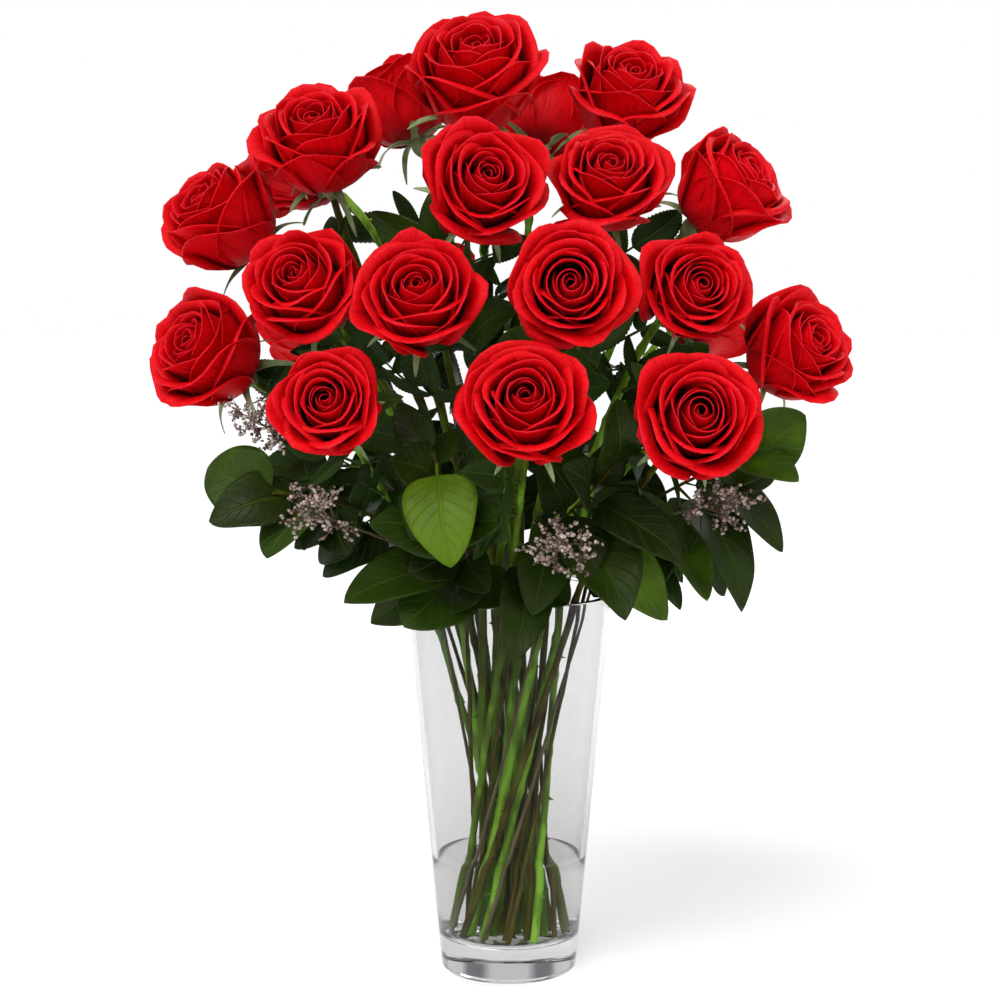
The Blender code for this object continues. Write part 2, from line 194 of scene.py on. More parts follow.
def curve_point(start, start_push, end, end_push, t):
    """A point on the smooth curve that leaves start along start_push and reaches end along end_push."""
    a = 2.0 * t ** 3 - 3.0 * t ** 2 + 1.0
    b = t ** 3 - 2.0 * t ** 2 + t
    c = -2.0 * t ** 3 + 3.0 * t ** 2
    d = t ** 3 - t ** 2
    return a * start + b * start_push + c * end + d * end_push


def vase_outer_radius(z):
    return FOOT_RADIUS + (RIM_RADIUS - FOOT_RADIUS) * z / VASE_HEIGHT


def spread_of(target):
    """How far a stem leans out: its reach from the middle over its rise above the rim."""
    return math.hypot(target.x, target.y) / (target.z - VASE_HEIGHT + LEAN_ORIGIN)


def seat_stems(targets):
    """A seat on the vase floor for each target, as (radius, angle). Round a ring, stems keep their order."""
    order = sorted(range(len(targets)), key=lambda i: spread_of(targets[i]))
    seats = [None] * len(targets)
    first = 0
    for radius, count in SEAT_RINGS:
        members = order[first:first + count]
        first += count
        members.sort(key=lambda i: math.atan2(targets[i].y, targets[i].x))
        step = TURN / len(members)
        sine = cosine = 0.0
        for place, i in enumerate(members):
            miss = math.atan2(targets[i].y, targets[i].x) - place * step
            sine += math.sin(miss)
            cosine += math.cos(miss)
        start = math.atan2(sine, cosine) - STEM_TWIST - SEAT_TURN
        for place, i in enumerate(members):
            seats[i] = (radius, start + place * step)
    return seats


def stem_ends(seat):
    """Where a stem stands on the vase floor and where it passes the rim."""
    radius, angle = seat
    floor = Vector((radius * math.cos(angle), radius * math.sin(angle), BASE_THICKNESS + STEM_FLOOR_GAP))
    angle += STEM_TWIST
    radius *= STEM_SPREAD
    return floor, Vector((radius * math.cos(angle), radius * math.sin(angle), VASE_HEIGHT))


def point_above_rim(seat, target, arrive, t):
    """A point of the curved part of a stem, from the rim (t = 0) to its target (t = 1)."""
    floor, rim = stem_ends(seat)
    reach = (target - rim).length
    leave = (rim - floor).normalized() * reach
    return curve_point(rim, leave, target, arrive * reach * ARRIVAL_PUSH, t)


def stem_path(seat, target, arrive, steps=24):
    floor, rim = stem_ends(seat)
    return [floor, floor.lerp(rim, 0.5)] + [
        point_above_rim(seat, target, arrive, i / (steps - 1)) for i in range(steps)
    ]


def bloom_base(middle, facing, size):
    return middle - facing * (BLOOM_DEPTH_BELOW * size + BLOOM_STEM_GAP)


facings = [Vector(way).normalized() for place, size, way in ROSES]
targets = [bloom_base(Vector(place) * MM, facing, size) for (place, size, way), facing in zip(ROSES, facings)]
targets += [Vector(place) * MM for place, way, leaves in BRANCHES]
targets += [Vector(place) * MM for place, way, spread in SPRIGS]
seats = seat_stems(targets)
print(len(seats), "stems have a seat")

# %% [markdown]
# ## Small tools
#
# These helpers do the plain work: arrays of points and faces become a mesh, a node is added with its settings
# and links in a single line, and a Geometry Nodes tree runs on a mesh and hands back plain geometry.

# %%
# Helpers for meshes and node trees


def mesh_from_arrays(name, points, quads, numbers=None):
    """A smooth mesh from arrays of points and four-cornered faces, with named numbers per point."""
    mesh = bpy.data.meshes.new(name)
    mesh.vertices.add(len(points))
    mesh.vertices.foreach_set("co", np.asarray(points, np.float32).ravel())
    mesh.loops.add(quads.size)
    mesh.loops.foreach_set("vertex_index", quads.astype(np.int32).ravel())
    mesh.polygons.add(len(quads))
    mesh.polygons.foreach_set("loop_start", np.arange(0, quads.size, 4, dtype=np.int32))
    mesh.update(calc_edges=True)
    mesh.polygons.foreach_set("use_smooth", np.ones(len(quads), bool))
    for label, values in (numbers or {}).items():
        mesh.attributes.new(label, "FLOAT", "POINT").data.foreach_set("value", values.astype(np.float32))
    mesh.validate()
    return mesh


def add_node(tree, kind, inputs=None, **settings):
    """Adds a node. An input may be given a plain value or another node's output socket."""
    made = tree.nodes.new(kind)
    for label, value in settings.items():
        setattr(made, label, value)
    for label, value in (inputs or {}).items():
        if isinstance(value, bpy.types.NodeSocket):
            tree.links.new(value, made.inputs[label])
        else:
            made.inputs[label].default_value = value
    return made


def maths(tree, operation, *values):
    """A Math node's output. Values may be numbers or sockets."""
    made = add_node(tree, "ShaderNodeMath", dict(enumerate(values)), operation=operation)
    return made.outputs[0]


def named_field(tree, label, kind):
    """The field of a named value that the geometry carries."""
    made = add_node(tree, "GeometryNodeInputNamedAttribute", {"Name": label}, data_type=kind)
    return made.outputs["Attribute"]


def wander(tree, scale, seed, amount):
    """An offset that drifts smoothly from place to place and stays within half of amount."""
    drift = add_node(tree, "ShaderNodeTexNoise", {"Scale": scale, "Detail": 1.0, "W": seed},
                     noise_dimensions="4D")
    centred = add_node(tree, "ShaderNodeVectorMath", {0: drift.outputs["Color"], 1: (0.5, 0.5, 0.5)},
                       operation="SUBTRACT")
    return add_node(tree, "ShaderNodeVectorMath", {0: centred.outputs[0], "Scale": amount},
                    operation="SCALE").outputs[0]


def coat(tree, made, skin, out):
    """The last nodes of a tree: smooth shading and a material on geometry that is already real."""
    made = add_node(tree, "GeometryNodeSetShadeSmooth", {"Geometry": made.outputs[0]})
    made = add_node(tree, "GeometryNodeSetMaterial", {"Geometry": made.outputs[0], "Material": skin})
    tree.links.new(made.outputs[0], out.inputs[0])


def new_geometry_tree(name, inputs):
    """An empty Geometry Nodes tree with named inputs, its input node and its output node."""
    tree = bpy.data.node_groups.new(name, "GeometryNodeTree")
    tree.interface.new_socket("Geometry", in_out="INPUT", socket_type="NodeSocketGeometry")
    for label, kind in inputs:
        tree.interface.new_socket(label, in_out="INPUT", socket_type="NodeSocket" + kind)
    tree.interface.new_socket("Geometry", in_out="OUTPUT", socket_type="NodeSocketGeometry")
    return tree, tree.nodes.new("NodeGroupInput").outputs, tree.nodes.new("NodeGroupOutput")


def grow(tree, mesh, values):
    """Runs a Geometry Nodes tree on a mesh, with inputs set by name, and returns the plain mesh it makes."""
    worker = bpy.data.objects.new("worker", mesh)
    scene.collection.objects.link(worker)
    modifier = worker.modifiers.new("grow", "NODES")
    modifier.node_group = tree
    for item in tree.interface.items_tree:
        if item.in_out == "INPUT" and item.name in values:
            modifier[item.identifier] = values[item.name]
    scene_now = bpy.context.evaluated_depsgraph_get()
    grown = bpy.data.meshes.new_from_object(worker.evaluated_get(scene_now))
    worker.modifiers.clear()
    bpy.data.objects.remove(worker, do_unlink=True)
    return grown


def join_meshes(name, meshes):
    """One mesh from several, with their materials and named numbers kept."""
    parts = []
    for mesh in meshes:
        part = bpy.data.objects.new(name, mesh)
        scene.collection.objects.link(part)
        parts.append(part)
    with bpy.context.temp_override(active_object=parts[0], selected_editable_objects=parts):
        bpy.ops.object.join()
    joined = parts[0].data
    bpy.data.objects.remove(parts[0], do_unlink=True)
    return joined


def add_piece(name, mesh, node):
    """A finished piece: it takes the place of one CAD node, whose part is hidden."""
    mesh.name = name
    piece = bpy.data.objects.new(name, mesh)
    scene.collection.objects.link(piece)
    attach(piece, "root")
    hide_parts(node)
    return piece


print("helpers are ready")

# %% [markdown]
# ## Materials
#
# A real petal is velvet: it scatters light softly. Its colour carries painted shade that goes almost black towards
# the base, where petals press together, and a painted pink highlight at its rolled rim. The petal mesh carries
# numbers for how high up and how far across each point lies, and those numbers drive the colour. Leaves carry the
# same kind of numbers, which draw their veins.
# Every material also has noise in its colour, roughness and surface, because nothing that grew is even.

# %%
# A helper that starts each material, and colour ramps and noise to build it from


def new_material(name):
    material = bpy.data.materials.new(name)
    material.use_nodes = True
    tree = material.node_tree
    return material, tree, tree.nodes["Principled BSDF"]


def set_shader(tree, shader, **values):
    for label, value in values.items():
        socket = shader.inputs[label.replace("_", " ")]
        if isinstance(value, bpy.types.NodeSocket):
            tree.links.new(value, socket)
        else:
            socket.default_value = value


def ramp(tree, factor, stops):
    """Colours between stops of (place, colour)."""
    made = add_node(tree, "ShaderNodeValToRGB", {"Fac": factor})
    elements = made.color_ramp.elements
    while len(elements) < len(stops):
        elements.new(0.5)
    for element, (place, colour) in zip(elements, stops):
        element.position = place
        element.color = (*colour, 1.0)
    return made.outputs["Color"]


def noise(tree, where, scale, detail=3.0, stretch=(1.0, 1.0, 1.0)):
    placed = add_node(tree, "ShaderNodeMapping", {"Vector": where, "Scale": stretch})
    return add_node(
        tree, "ShaderNodeTexNoise", {"Vector": placed.outputs[0], "Scale": scale, "Detail": detail}
    ).outputs["Fac"]


def between(tree, factor, low, high, from_low=0.3, from_high=0.7):
    """factor stretched from one range to another."""
    return add_node(tree, "ShaderNodeMapRange", {
        "Value": factor, "From Min": from_low, "From Max": from_high, "To Min": low, "To Max": high,
    }).outputs[0]


def mix_colours(tree, factor, first, second):
    made = tree.nodes.new("ShaderNodeMix")
    made.data_type = "RGBA"
    for index, value in ((0, factor), (6, first), (7, second)):
        if isinstance(value, bpy.types.NodeSocket):
            tree.links.new(value, made.inputs[index])
        else:
            made.inputs[index].default_value = value if index == 0 else (*value, 1.0)
    return made.outputs[2]


def bump(tree, height, distance, strength=1.0):
    return add_node(
        tree, "ShaderNodeBump", {"Height": height, "Distance": distance, "Strength": strength}
    ).outputs["Normal"]


def number(tree, name):
    """The value of a named number that the mesh carries."""
    return add_node(tree, "ShaderNodeAttribute", attribute_name=name).outputs["Fac"]


def place_of(tree):
    return tree.nodes.new("ShaderNodeTexCoord").outputs["Object"]


print("helpers for materials are ready")

# %%
# Petals: painted shade that darkens them towards the base where the folds are, saturated red on the faces and a
# painted pink highlight on the rims


def make_petal_material():
    material, tree, shader = new_material("rose_petal")
    height = number(tree, "petal_height")
    across = number(tree, "petal_across")
    order = number(tree, "petal_order")
    where = place_of(tree)
    patch = noise(tree, where, 70.0)
    lifted = maths(tree, "ADD", height, between(tree, patch, -0.05, 0.05))
    # Painted shade: the red darkens towards the base of each petal, where petals press together; the top stop is a
    # painted pink highlight on the rim
    front_painted_shade_highlight = ramp(tree, lifted, [
        (0.20, (0.075, 0.000, 0.001)),
        (0.46, (0.300, 0.000, 0.002)),
        (0.72, (0.600, 0.000, 0.003)),
        (0.93, (0.680, 0.001, 0.005)),
        (1.00, (0.700, 0.008, 0.022)),
    ])
    along_petal = add_node(tree, "ShaderNodeCombineXYZ", {
        "X": maths(tree, "MULTIPLY", across, 16.0),
        "Y": maths(tree, "MULTIPLY", height, 2.2),
        "Z": maths(tree, "MULTIPLY", order, 90.0),
    }).outputs[0]
    veins = noise(tree, along_petal, 1.6, 4.0)
    # Outer side of the outer petals: painted shade darkens it towards the base, and the top stop is a painted pink
    # highlight on the rim
    back_painted_shade_highlight = ramp(tree, lifted, [
        (0.05, (0.240, 0.004, 0.006)), (0.35, (0.660, 0.000, 0.004)), (0.85, (0.780, 0.001, 0.006)),
        (1.00, (0.780, 0.010, 0.024)),
    ])
    outside = maths(tree, "MULTIPLY", number(tree, "petal_back"), between(tree, order, 0.0, 1.0, 0.55, 0.80))
    faces = mix_colours(tree, outside, front_painted_shade_highlight, back_painted_shade_highlight)
    deeper = mix_colours(tree, between(tree, veins, 0.0, 0.45, 0.42, 0.72), faces, (0.27, 0.0, 0.003))
    pores = noise(tree, where, 900.0, 2.0)
    relief = maths(tree, "ADD", veins, maths(tree, "MULTIPLY", pores, 0.35))
    set_shader(
        tree, shader,
        Base_Color=deeper,
        Roughness=between(tree, patch, 0.46, 0.60),
        Normal=bump(tree, relief, 0.0006, 0.45),
        Specular_IOR_Level=0.10,
        Sheen_Weight=0.10,
        Sheen_Roughness=0.35,
        Sheen_Tint=(1.0, 0.05, 0.12, 1.0),
        Subsurface_Weight=0.12,
        Subsurface_Radius=(1.0, 0.12, 0.10),
        Subsurface_Scale=0.003,
    )
    return material


petal_red = make_petal_material()
print("made", petal_red.name)

# %%
# Leaves: dark and waxy with sunken veins; the number "tone" makes some of them bright


VEIN_SLANT = 2.4


def make_leaf_material(name, dark, mid, bright, veins_per_leaf, waxy):
    material, tree, shader = new_material(name)
    along = number(tree, "leaf_along")
    across = number(tree, "leaf_across")
    tone = number(tree, "tone")
    where = place_of(tree)
    patch = noise(tree, where, 45.0)
    shade = maths(tree, "ADD", tone, between(tree, patch, -0.14, 0.14))
    green = ramp(tree, shade, [(0.10, dark), (0.62, mid), (0.95, bright)])
    side = maths(tree, "ABSOLUTE", across)
    rungs = maths(tree, "MULTIPLY", along, veins_per_leaf)
    ladder = maths(tree, "SUBTRACT", rungs, maths(tree, "MULTIPLY", side, VEIN_SLANT))
    from_vein = maths(tree, "PINGPONG", ladder, 0.5)
    side_vein = between(tree, from_vein, 1.0, 0.0, 0.0, 0.10)
    rib = between(tree, side, 1.0, 0.0, 0.015, 0.075)
    vein = maths(tree, "MAXIMUM", rib, maths(tree, "MULTIPLY", side_vein, 0.55))
    pale = mix_colours(tree, maths(tree, "MULTIPLY", vein, 0.20), green, bright)
    net = noise(tree, where, 420.0, 3.0)
    relief = maths(tree, "SUBTRACT", maths(tree, "MULTIPLY", net, 0.35), vein)
    set_shader(
        tree, shader,
        Base_Color=pale,
        Roughness=between(tree, patch, waxy, waxy + 0.16),
        Normal=bump(tree, relief, 0.0010, 0.50),
        Specular_IOR_Level=0.15,
        Specular_Tint=(0.95, 1.0, 0.75, 1.0),
        Subsurface_Weight=0.05,
        Subsurface_Radius=(0.35, 1.0, 0.12),
        Subsurface_Scale=0.002,
    )
    return material


lemon_leaf_green = make_leaf_material(
    "lemon_leaf", (0.008, 0.016, 0.001), (0.021, 0.046, 0.002), (0.070, 0.135, 0.003), 7.0, 0.34
)
rose_leaf_green = make_leaf_material(
    "rose_leaf", (0.008, 0.020, 0.002), (0.026, 0.060, 0.006), (0.110, 0.210, 0.030), 9.0, 0.42
)
print("made", lemon_leaf_green.name, "and", rose_leaf_green.name)

# %%
# Stems, hips and sepals, and the dry filler


def make_bark_material(name, stops, roughness, grain):
    """Green or woody skin with long fine streaks. The number "tone" shifts it along the colour stops."""
    material, tree, shader = new_material(name)
    where = place_of(tree)
    tone = number(tree, "tone")
    patch = noise(tree, where, 40.0, 4.0)
    streak = noise(tree, where, grain, 3.0, (1.0, 1.0, 0.12))
    shade = maths(tree, "ADD", tone, maths(
        tree, "ADD", between(tree, patch, -0.24, 0.24), between(tree, streak, -0.14, 0.14)
    ))
    set_shader(
        tree, shader,
        Base_Color=ramp(tree, shade, stops),
        Roughness=between(tree, patch, roughness, roughness + 0.18),
        Normal=bump(tree, streak, 0.0008, 0.5),
        Specular_IOR_Level=0.12,
    )
    return material


stem_green = make_bark_material("rose_stem", [
    (0.05, (0.022, 0.012, 0.001)),
    (0.28, (0.060, 0.048, 0.002)),
    (0.50, (0.066, 0.094, 0.003)),
    (0.75, (0.090, 0.190, 0.008)),
    (0.95, (0.200, 0.420, 0.030)),
], 0.40, 260.0)
calyx_green = make_bark_material("rose_calyx", [
    (0.20, (0.075, 0.120, 0.045)),
    (0.60, (0.210, 0.290, 0.130)),
    (0.95, (0.420, 0.500, 0.270)),
], 0.48, 420.0)
twig_brown = make_bark_material("lemon_leaf_twig", [
    (0.10, (0.028, 0.018, 0.003)),
    (0.60, (0.064, 0.050, 0.004)),
    (0.95, (0.070, 0.110, 0.010)),
], 0.50, 300.0)
filler_bud = make_bark_material("filler_bud", [
    (0.10, (0.070, 0.040, 0.038)),
    (0.50, (0.165, 0.115, 0.100)),
    (0.95, (0.520, 0.430, 0.390)),
], 0.72, 900.0)
filler_twig = make_bark_material("filler_twig", [
    (0.10, (0.040, 0.025, 0.018)),
    (0.90, (0.130, 0.110, 0.055)),
], 0.65, 500.0)
print("made", [made.name for made in (stem_green, calyx_green, twig_brown, filler_bud, filler_twig)])

# %%
# Glass and water: light from lamps passes straight through, so that the stems inside are lit. Both get painted
# shade where they are seen edge on. The water bends light less than real water, which keeps its waterline faint.
GLASS_BEND = 1.50
WATER_BEND = 1.12


def make_clear_material(name, tint, painted_edge_shade, bend, roughness, gleam):
    material, tree, shader = new_material(name)
    where = place_of(tree)
    ripple = noise(tree, where, 26.0, 1.0, (1.0, 1.0, 0.35))
    speck = noise(tree, where, 340.0, 2.0)
    # Painted shade: the colour turns darker where the surface is seen edge on
    slant = add_node(tree, "ShaderNodeLayerWeight", {"Blend": 0.5}).outputs["Facing"]
    body = mix_colours(tree, between(tree, slant, 0.0, 1.0, 0.55, 0.92), tint, painted_edge_shade)
    set_shader(
        tree, shader,
        Base_Color=mix_colours(tree, between(tree, speck, 0.0, 0.12), body, (1.0, 1.0, 1.0)),
        Roughness=between(tree, ripple, 0.0, roughness),
        Normal=bump(tree, ripple, 0.0006, 0.25),
        IOR=bend,
        Transmission_Weight=1.0,
        Specular_Tint=(gleam, gleam, gleam, 1.0),
    )
    through = add_node(tree, "ShaderNodeBsdfTransparent", {"Color": (0.96, 0.97, 0.97, 1.0)})
    lamp_ray = tree.nodes.new("ShaderNodeLightPath").outputs["Is Shadow Ray"]
    both = add_node(tree, "ShaderNodeMixShader", {0: lamp_ray, 1: shader.outputs[0], 2: through.outputs[0]})
    tree.links.new(both.outputs[0], tree.nodes["Material Output"].inputs["Surface"])
    return material


clear_glass = make_clear_material(
    "clear_glass", (0.740, 0.740, 0.738), (0.42, 0.43, 0.43), GLASS_BEND, 0.02, 0.12
)
clear_water = make_clear_material(
    "clear_water", (0.985, 0.99, 0.985), (0.96, 0.97, 0.96), WATER_BEND, 0.01, 0.10
)
print(len(bpy.data.materials), "materials")

# %% [markdown]
# ## Rose stems
#
# A florist's rose stem is a thick green rod with a slight swelling where each leaf grew, a few hooked thorns and
# a skin that goes from fresh green to olive and brown. It follows a path, so it is grown by Geometry Nodes:
# the path becomes a curve, a field makes the radius swell and taper along it, and a round profile gives it skin.
# Thorns are instanced at an even gap, each turned at random and nearly half of them left out. One tree serves all
# stems and twigs, and only its inputs change.

# %%
# The tree that puts skin and thorns on a path
SKIN_STEP = 0.0042
SKIN_SIDES = 10
KNOT_SHARPNESS = 22.0
THORN_LENGTH, THORN_ROOT, THORN_POINT = 0.0040, 0.0012, 0.00008
THORN_LEAN = math.radians(104)
THORN_CHANCE = 0.55
NO_THORNS = {"Thorn Gap": 9.0, "Thorn Size": 0.0}
EXTRA_STEM_LEAVES = 3


def make_stem_tree():
    tree, given, out = new_geometry_tree("stem_skin", [
        ("Radius", "Float"), ("Tip Share", "Float"), ("Node Gap", "Float"), ("Swelling", "Float"),
        ("Kink", "Float"), ("Thorn Gap", "Float"), ("Thorn Size", "Float"), ("Tone", "Float"),
        ("Seed", "Int"), ("Skin", "Material"),
    ])
    path = add_node(tree, "GeometryNodeMeshToCurve", {"Mesh": given["Geometry"]})
    path = add_node(tree, "GeometryNodeResampleCurve", {"Curve": path.outputs[0], "Length": SKIN_STEP},
                    mode="LENGTH")
    spline = tree.nodes.new("GeometryNodeSplineParameter").outputs
    seed = maths(tree, "MULTIPLY", given["Seed"], 1.7)

    # kinks: the path wanders a little, but not at its two ends
    ends = maths(tree, "MULTIPLY", spline["Factor"], maths(tree, "SUBTRACT", 1.0, spline["Factor"]))
    amount = maths(tree, "MULTIPLY", maths(tree, "MULTIPLY", ends, 4.0), given["Kink"])
    path = add_node(tree, "GeometryNodeSetPosition", {
        "Geometry": path.outputs[0], "Offset": wander(tree, 22.0, seed, amount),
    })

    # radius: swellings at an even gap, small lumps and a taper
    turns = maths(tree, "DIVIDE", maths(tree, "MULTIPLY", spline["Length"], TURN), given["Node Gap"])
    wave = maths(tree, "COSINE", maths(tree, "ADD", turns, seed))
    knots = maths(tree, "POWER", maths(tree, "MAXIMUM", wave, 0.0), KNOT_SHARPNESS)
    lumps = add_node(tree, "ShaderNodeTexNoise", {"Scale": 90.0, "Detail": 2.0})
    uneven = between(tree, lumps.outputs["Fac"], 0.92, 1.08)
    taper = between(tree, spline["Factor"], 1.0, given["Tip Share"], 0.0, 1.0)
    thick = maths(tree, "ADD", uneven, maths(tree, "MULTIPLY", knots, given["Swelling"]))
    thick = maths(tree, "MULTIPLY", maths(tree, "MULTIPLY", thick, taper), given["Radius"])
    round_edge = add_node(tree, "GeometryNodeCurvePrimitiveCircle", {"Resolution": SKIN_SIDES, "Radius": 1.0})
    skin = add_node(tree, "GeometryNodeCurveToMesh", {
        "Curve": path.outputs[0], "Profile Curve": round_edge.outputs[0], "Scale": thick, "Fill Caps": True,
    })

    # thorns: small cones that lean down and out, at random turns round the stem
    cone = add_node(tree, "GeometryNodeMeshCone", {
        "Vertices": 6, "Radius Top": THORN_POINT, "Radius Bottom": THORN_ROOT, "Depth": THORN_LENGTH,
    })
    cone = add_node(tree, "GeometryNodeTransform", {
        "Geometry": cone.outputs["Mesh"], "Rotation": (0.0, THORN_LEAN, 0.0), "Scale": (1.0, 0.5, 1.0),
    })
    spots = add_node(tree, "GeometryNodeCurveToPoints", {
        "Curve": path.outputs[0], "Length": given["Thorn Gap"],
    }, mode="LENGTH")
    spin = add_node(tree, "FunctionNodeRandomValue", {"Min": 0.0, "Max": TURN, "Seed": given["Seed"]})
    spun = add_node(tree, "FunctionNodeAxisAngleToRotation", {
        "Axis": (0.0, 0.0, 1.0), "Angle": spin.outputs["Value"],
    })
    turn = add_node(tree, "FunctionNodeRotateRotation", {
        "Rotation": spots.outputs["Rotation"], "Rotate By": spun.outputs[0],
    }, rotation_space="LOCAL")
    outward = add_node(tree, "FunctionNodeRotateVector", {
        "Vector": (1.0, 0.0, 0.0), "Rotation": turn.outputs[0],
    })
    lift = add_node(tree, "ShaderNodeVectorMath", {
        0: outward.outputs[0], "Scale": maths(tree, "MULTIPLY", given["Radius"], 0.80),
    }, operation="SCALE")
    spots = add_node(tree, "GeometryNodeSetPosition", {
        "Geometry": spots.outputs["Points"], "Offset": lift.outputs[0],
    })
    keep = add_node(tree, "FunctionNodeRandomValue", {
        "Probability": THORN_CHANCE, "Seed": maths(tree, "ADD", given["Seed"], 9.0),
    }, data_type="BOOLEAN")
    thorns = add_node(tree, "GeometryNodeInstanceOnPoints", {
        "Points": spots.outputs[0], "Selection": keep.outputs[3], "Instance": cone.outputs[0],
        "Rotation": turn.outputs[0], "Scale": given["Thorn Size"],
    })
    whole = add_node(tree, "GeometryNodeJoinGeometry")
    tree.links.new(thorns.outputs[0], whole.inputs[0])
    tree.links.new(skin.outputs[0], whole.inputs[0])
    whole = add_node(tree, "GeometryNodeRealizeInstances", {"Geometry": whole.outputs[0]})
    whole = add_node(tree, "GeometryNodeStoreNamedAttribute", {
        "Geometry": whole.outputs[0], "Name": "tone", "Value": given["Tone"],
    }, data_type="FLOAT", domain="POINT")
    coat(tree, whole, given["Skin"], out)
    return tree


def path_mesh(paths):
    """A mesh of loose edges, one chain for each list of points."""
    points, edges = [], []
    for path in paths:
        first = len(points)
        points += [tuple(p) for p in path]
        edges += [(first + i, first + i + 1) for i in range(len(path) - 1)]
    mesh = bpy.data.meshes.new("path")
    mesh.from_pydata(points, edges, [])
    return mesh


stem_tree = make_stem_tree()
draw = np.random.default_rng(7)
rose_stem_meshes = []
for index, facing in enumerate(facings):
    path = stem_path(seats[index], targets[index], facing)
    rose_stem_meshes.append(grow(stem_tree, path_mesh([path]), {
        "Radius": ROSE_STEM_RADIUS * float(draw.uniform(0.86, 1.10)), "Tip Share": 0.82, "Node Gap": 0.046,
        "Swelling": 0.34, "Kink": 0.0045, "Thorn Gap": 0.027, "Thorn Size": 1.0,
        "Tone": float(draw.choice([0.22, 0.34, 0.50, 0.62, 0.74, 0.86])), "Seed": index, "Skin": stem_green,
    }))
print(sum(len(m.polygons) for m in rose_stem_meshes), "faces on", len(rose_stem_meshes), "rose stems")

# %% [markdown]
# ## Leaf shapes
#
# Two kinds of leaf are needed. Lemon leaf is broad and leathery, with a rounded base, a drawn-out point and a
# blade that is gently folded along its rib. A rose's own leaf has small leaflets with saw teeth. Each shape is
# drawn once in its own unit space: it runs from 0 to 1 along X, is 1 wide to each side along Y and looks up along
# Z. Four lemon leaves with different bends and two rose leaves are enough, because every copy is stretched, turned
# and bent again in its own way.

# %%
# The leaf shapes, as closed thin shells with numbers for the veins
LEAF_ROWS, LEAF_COLUMNS = 30, 13
PETIOLE_END = 0.15
STALK_SIDES = 6
LEAFLET_Y_SHARE = 0.16  # how long one unit of Y is in units of X, on a rose leaf of usual width


def smooth_step(x):
    x = np.clip(x, 0.0, 1.0)
    return x * x * (3.0 - 2.0 * x)


def close_shell(grid, thickness):
    """Points and faces of a thin closed sheet over a grid of points (rows, columns, 3)."""
    rows, columns, _ = grid.shape
    normal = np.cross(np.gradient(grid, axis=1), np.gradient(grid, axis=0))
    normal /= np.maximum(np.linalg.norm(normal, axis=-1, keepdims=True), 1e-9)
    points = np.concatenate([
        (grid + normal * thickness / 2.0).reshape(-1, 3), (grid - normal * thickness / 2.0).reshape(-1, 3)
    ])
    top = np.arange(rows * columns).reshape(rows, columns)
    under = top + rows * columns
    faces = [
        np.stack([top[:-1, :-1], top[:-1, 1:], top[1:, 1:], top[1:, :-1]], -1).reshape(-1, 4),
        np.stack([under[:-1, :-1], under[1:, :-1], under[1:, 1:], under[:-1, 1:]], -1).reshape(-1, 4),
        np.stack([top[0][:-1], under[0][:-1], under[0][1:], top[0][1:]], -1),
        np.stack([top[-1][:-1], top[-1][1:], under[-1][1:], under[-1][:-1]], -1),
        np.stack([top[:-1, 0], top[1:, 0], under[1:, 0], under[:-1, 0]], -1),
        np.stack([top[:-1, -1], under[:-1, -1], under[1:, -1], top[1:, -1]], -1),
    ]
    return points, np.concatenate(faces)


def ring_faces(rings, sides):
    """Faces between neighbouring rings of points, then the point numbers of the first and the last ring."""
    number_of = np.arange(rings * sides).reshape(rings, sides)
    after = np.roll(number_of, -1, axis=1)
    faces = np.stack([number_of[:-1], after[:-1], after[1:], number_of[1:]], -1).reshape(-1, 4)
    return faces, number_of[0], number_of[-1]


def tube_arrays(middles, radii_y, radii_z):
    """A closed tube along X with flat ends, for a leaf's stalk."""
    angle = np.arange(STALK_SIDES) * TURN / STALK_SIDES
    rings = [
        np.stack([
            np.full(STALK_SIDES, middle[0]), middle[1] + wide * np.cos(angle), middle[2] + deep * np.sin(angle)
        ], -1)
        for middle, wide, deep in zip(middles, radii_y, radii_z)
    ]
    faces, first, last = ring_faces(len(rings), STALK_SIDES)
    caps = [[ring[k] for k in half] for half in ((0, 1, 2, 3), (3, 4, 5, 0)) for ring in (first[::-1], last)]
    return np.concatenate(rings), np.concatenate([faces, np.array(caps)])


def blade_grid(rows, columns, start, arch, fold, curl, sway, teeth, phase):
    """A grid over one blade that lies along X. Returns the points and their numbers along and across."""
    along = np.linspace(0.0, 1.0, rows)[:, None] ** 0.92
    across = np.linspace(-1.0, 1.0, columns)[None, :]
    outline = along ** 0.45 * (1.0 - along) ** 0.75 / 0.487
    outline = outline * (1.0 + teeth * (1.0 - (along * 15.0) % 1.0)) + 0.015
    x = start + (1.0 - start) * along + 0.0 * across
    y = across * outline + sway * np.sin(math.pi * along)
    ladder = np.sin(TURN * (along * 7.0 - np.abs(across) * 1.6)) * np.abs(across) * (1.0 - np.abs(across))
    z = (
        arch * np.sin(math.pi * (PETIOLE_END + (1.0 - PETIOLE_END) * along))
        + fold * np.abs(across) ** 1.3 * outline
        + 0.014 * np.sin(along * 9.0 + phase + across) * np.abs(across) ** 2 * outline
        + 0.008 * ladder * outline
        + curl * along ** 3
        - 0.030 * across * np.sin(along * 3.0 + phase) * outline
    )
    return np.stack([x, y, z], -1), along + 0.0 * across, across + 0.0 * along


def lemon_leaf_mesh(name, arch, fold, curl, sway, phase):
    grid, along, across = blade_grid(
        LEAF_ROWS, LEAF_COLUMNS, PETIOLE_END, arch, fold, curl, sway, 0.0, phase
    )
    points, faces = close_shell(grid, 0.0075)
    steps = np.linspace(0.0, 0.24, 6)
    spine = np.stack([steps, steps * 0.0, arch * np.sin(math.pi * steps) - 0.003], -1)
    stalk, stalk_faces = tube_arrays(spine, np.linspace(0.055, 0.03, 6), np.linspace(0.012, 0.007, 6))
    return leaf_mesh(name, [(points, faces, along, across), (stalk, stalk_faces, None, None)])


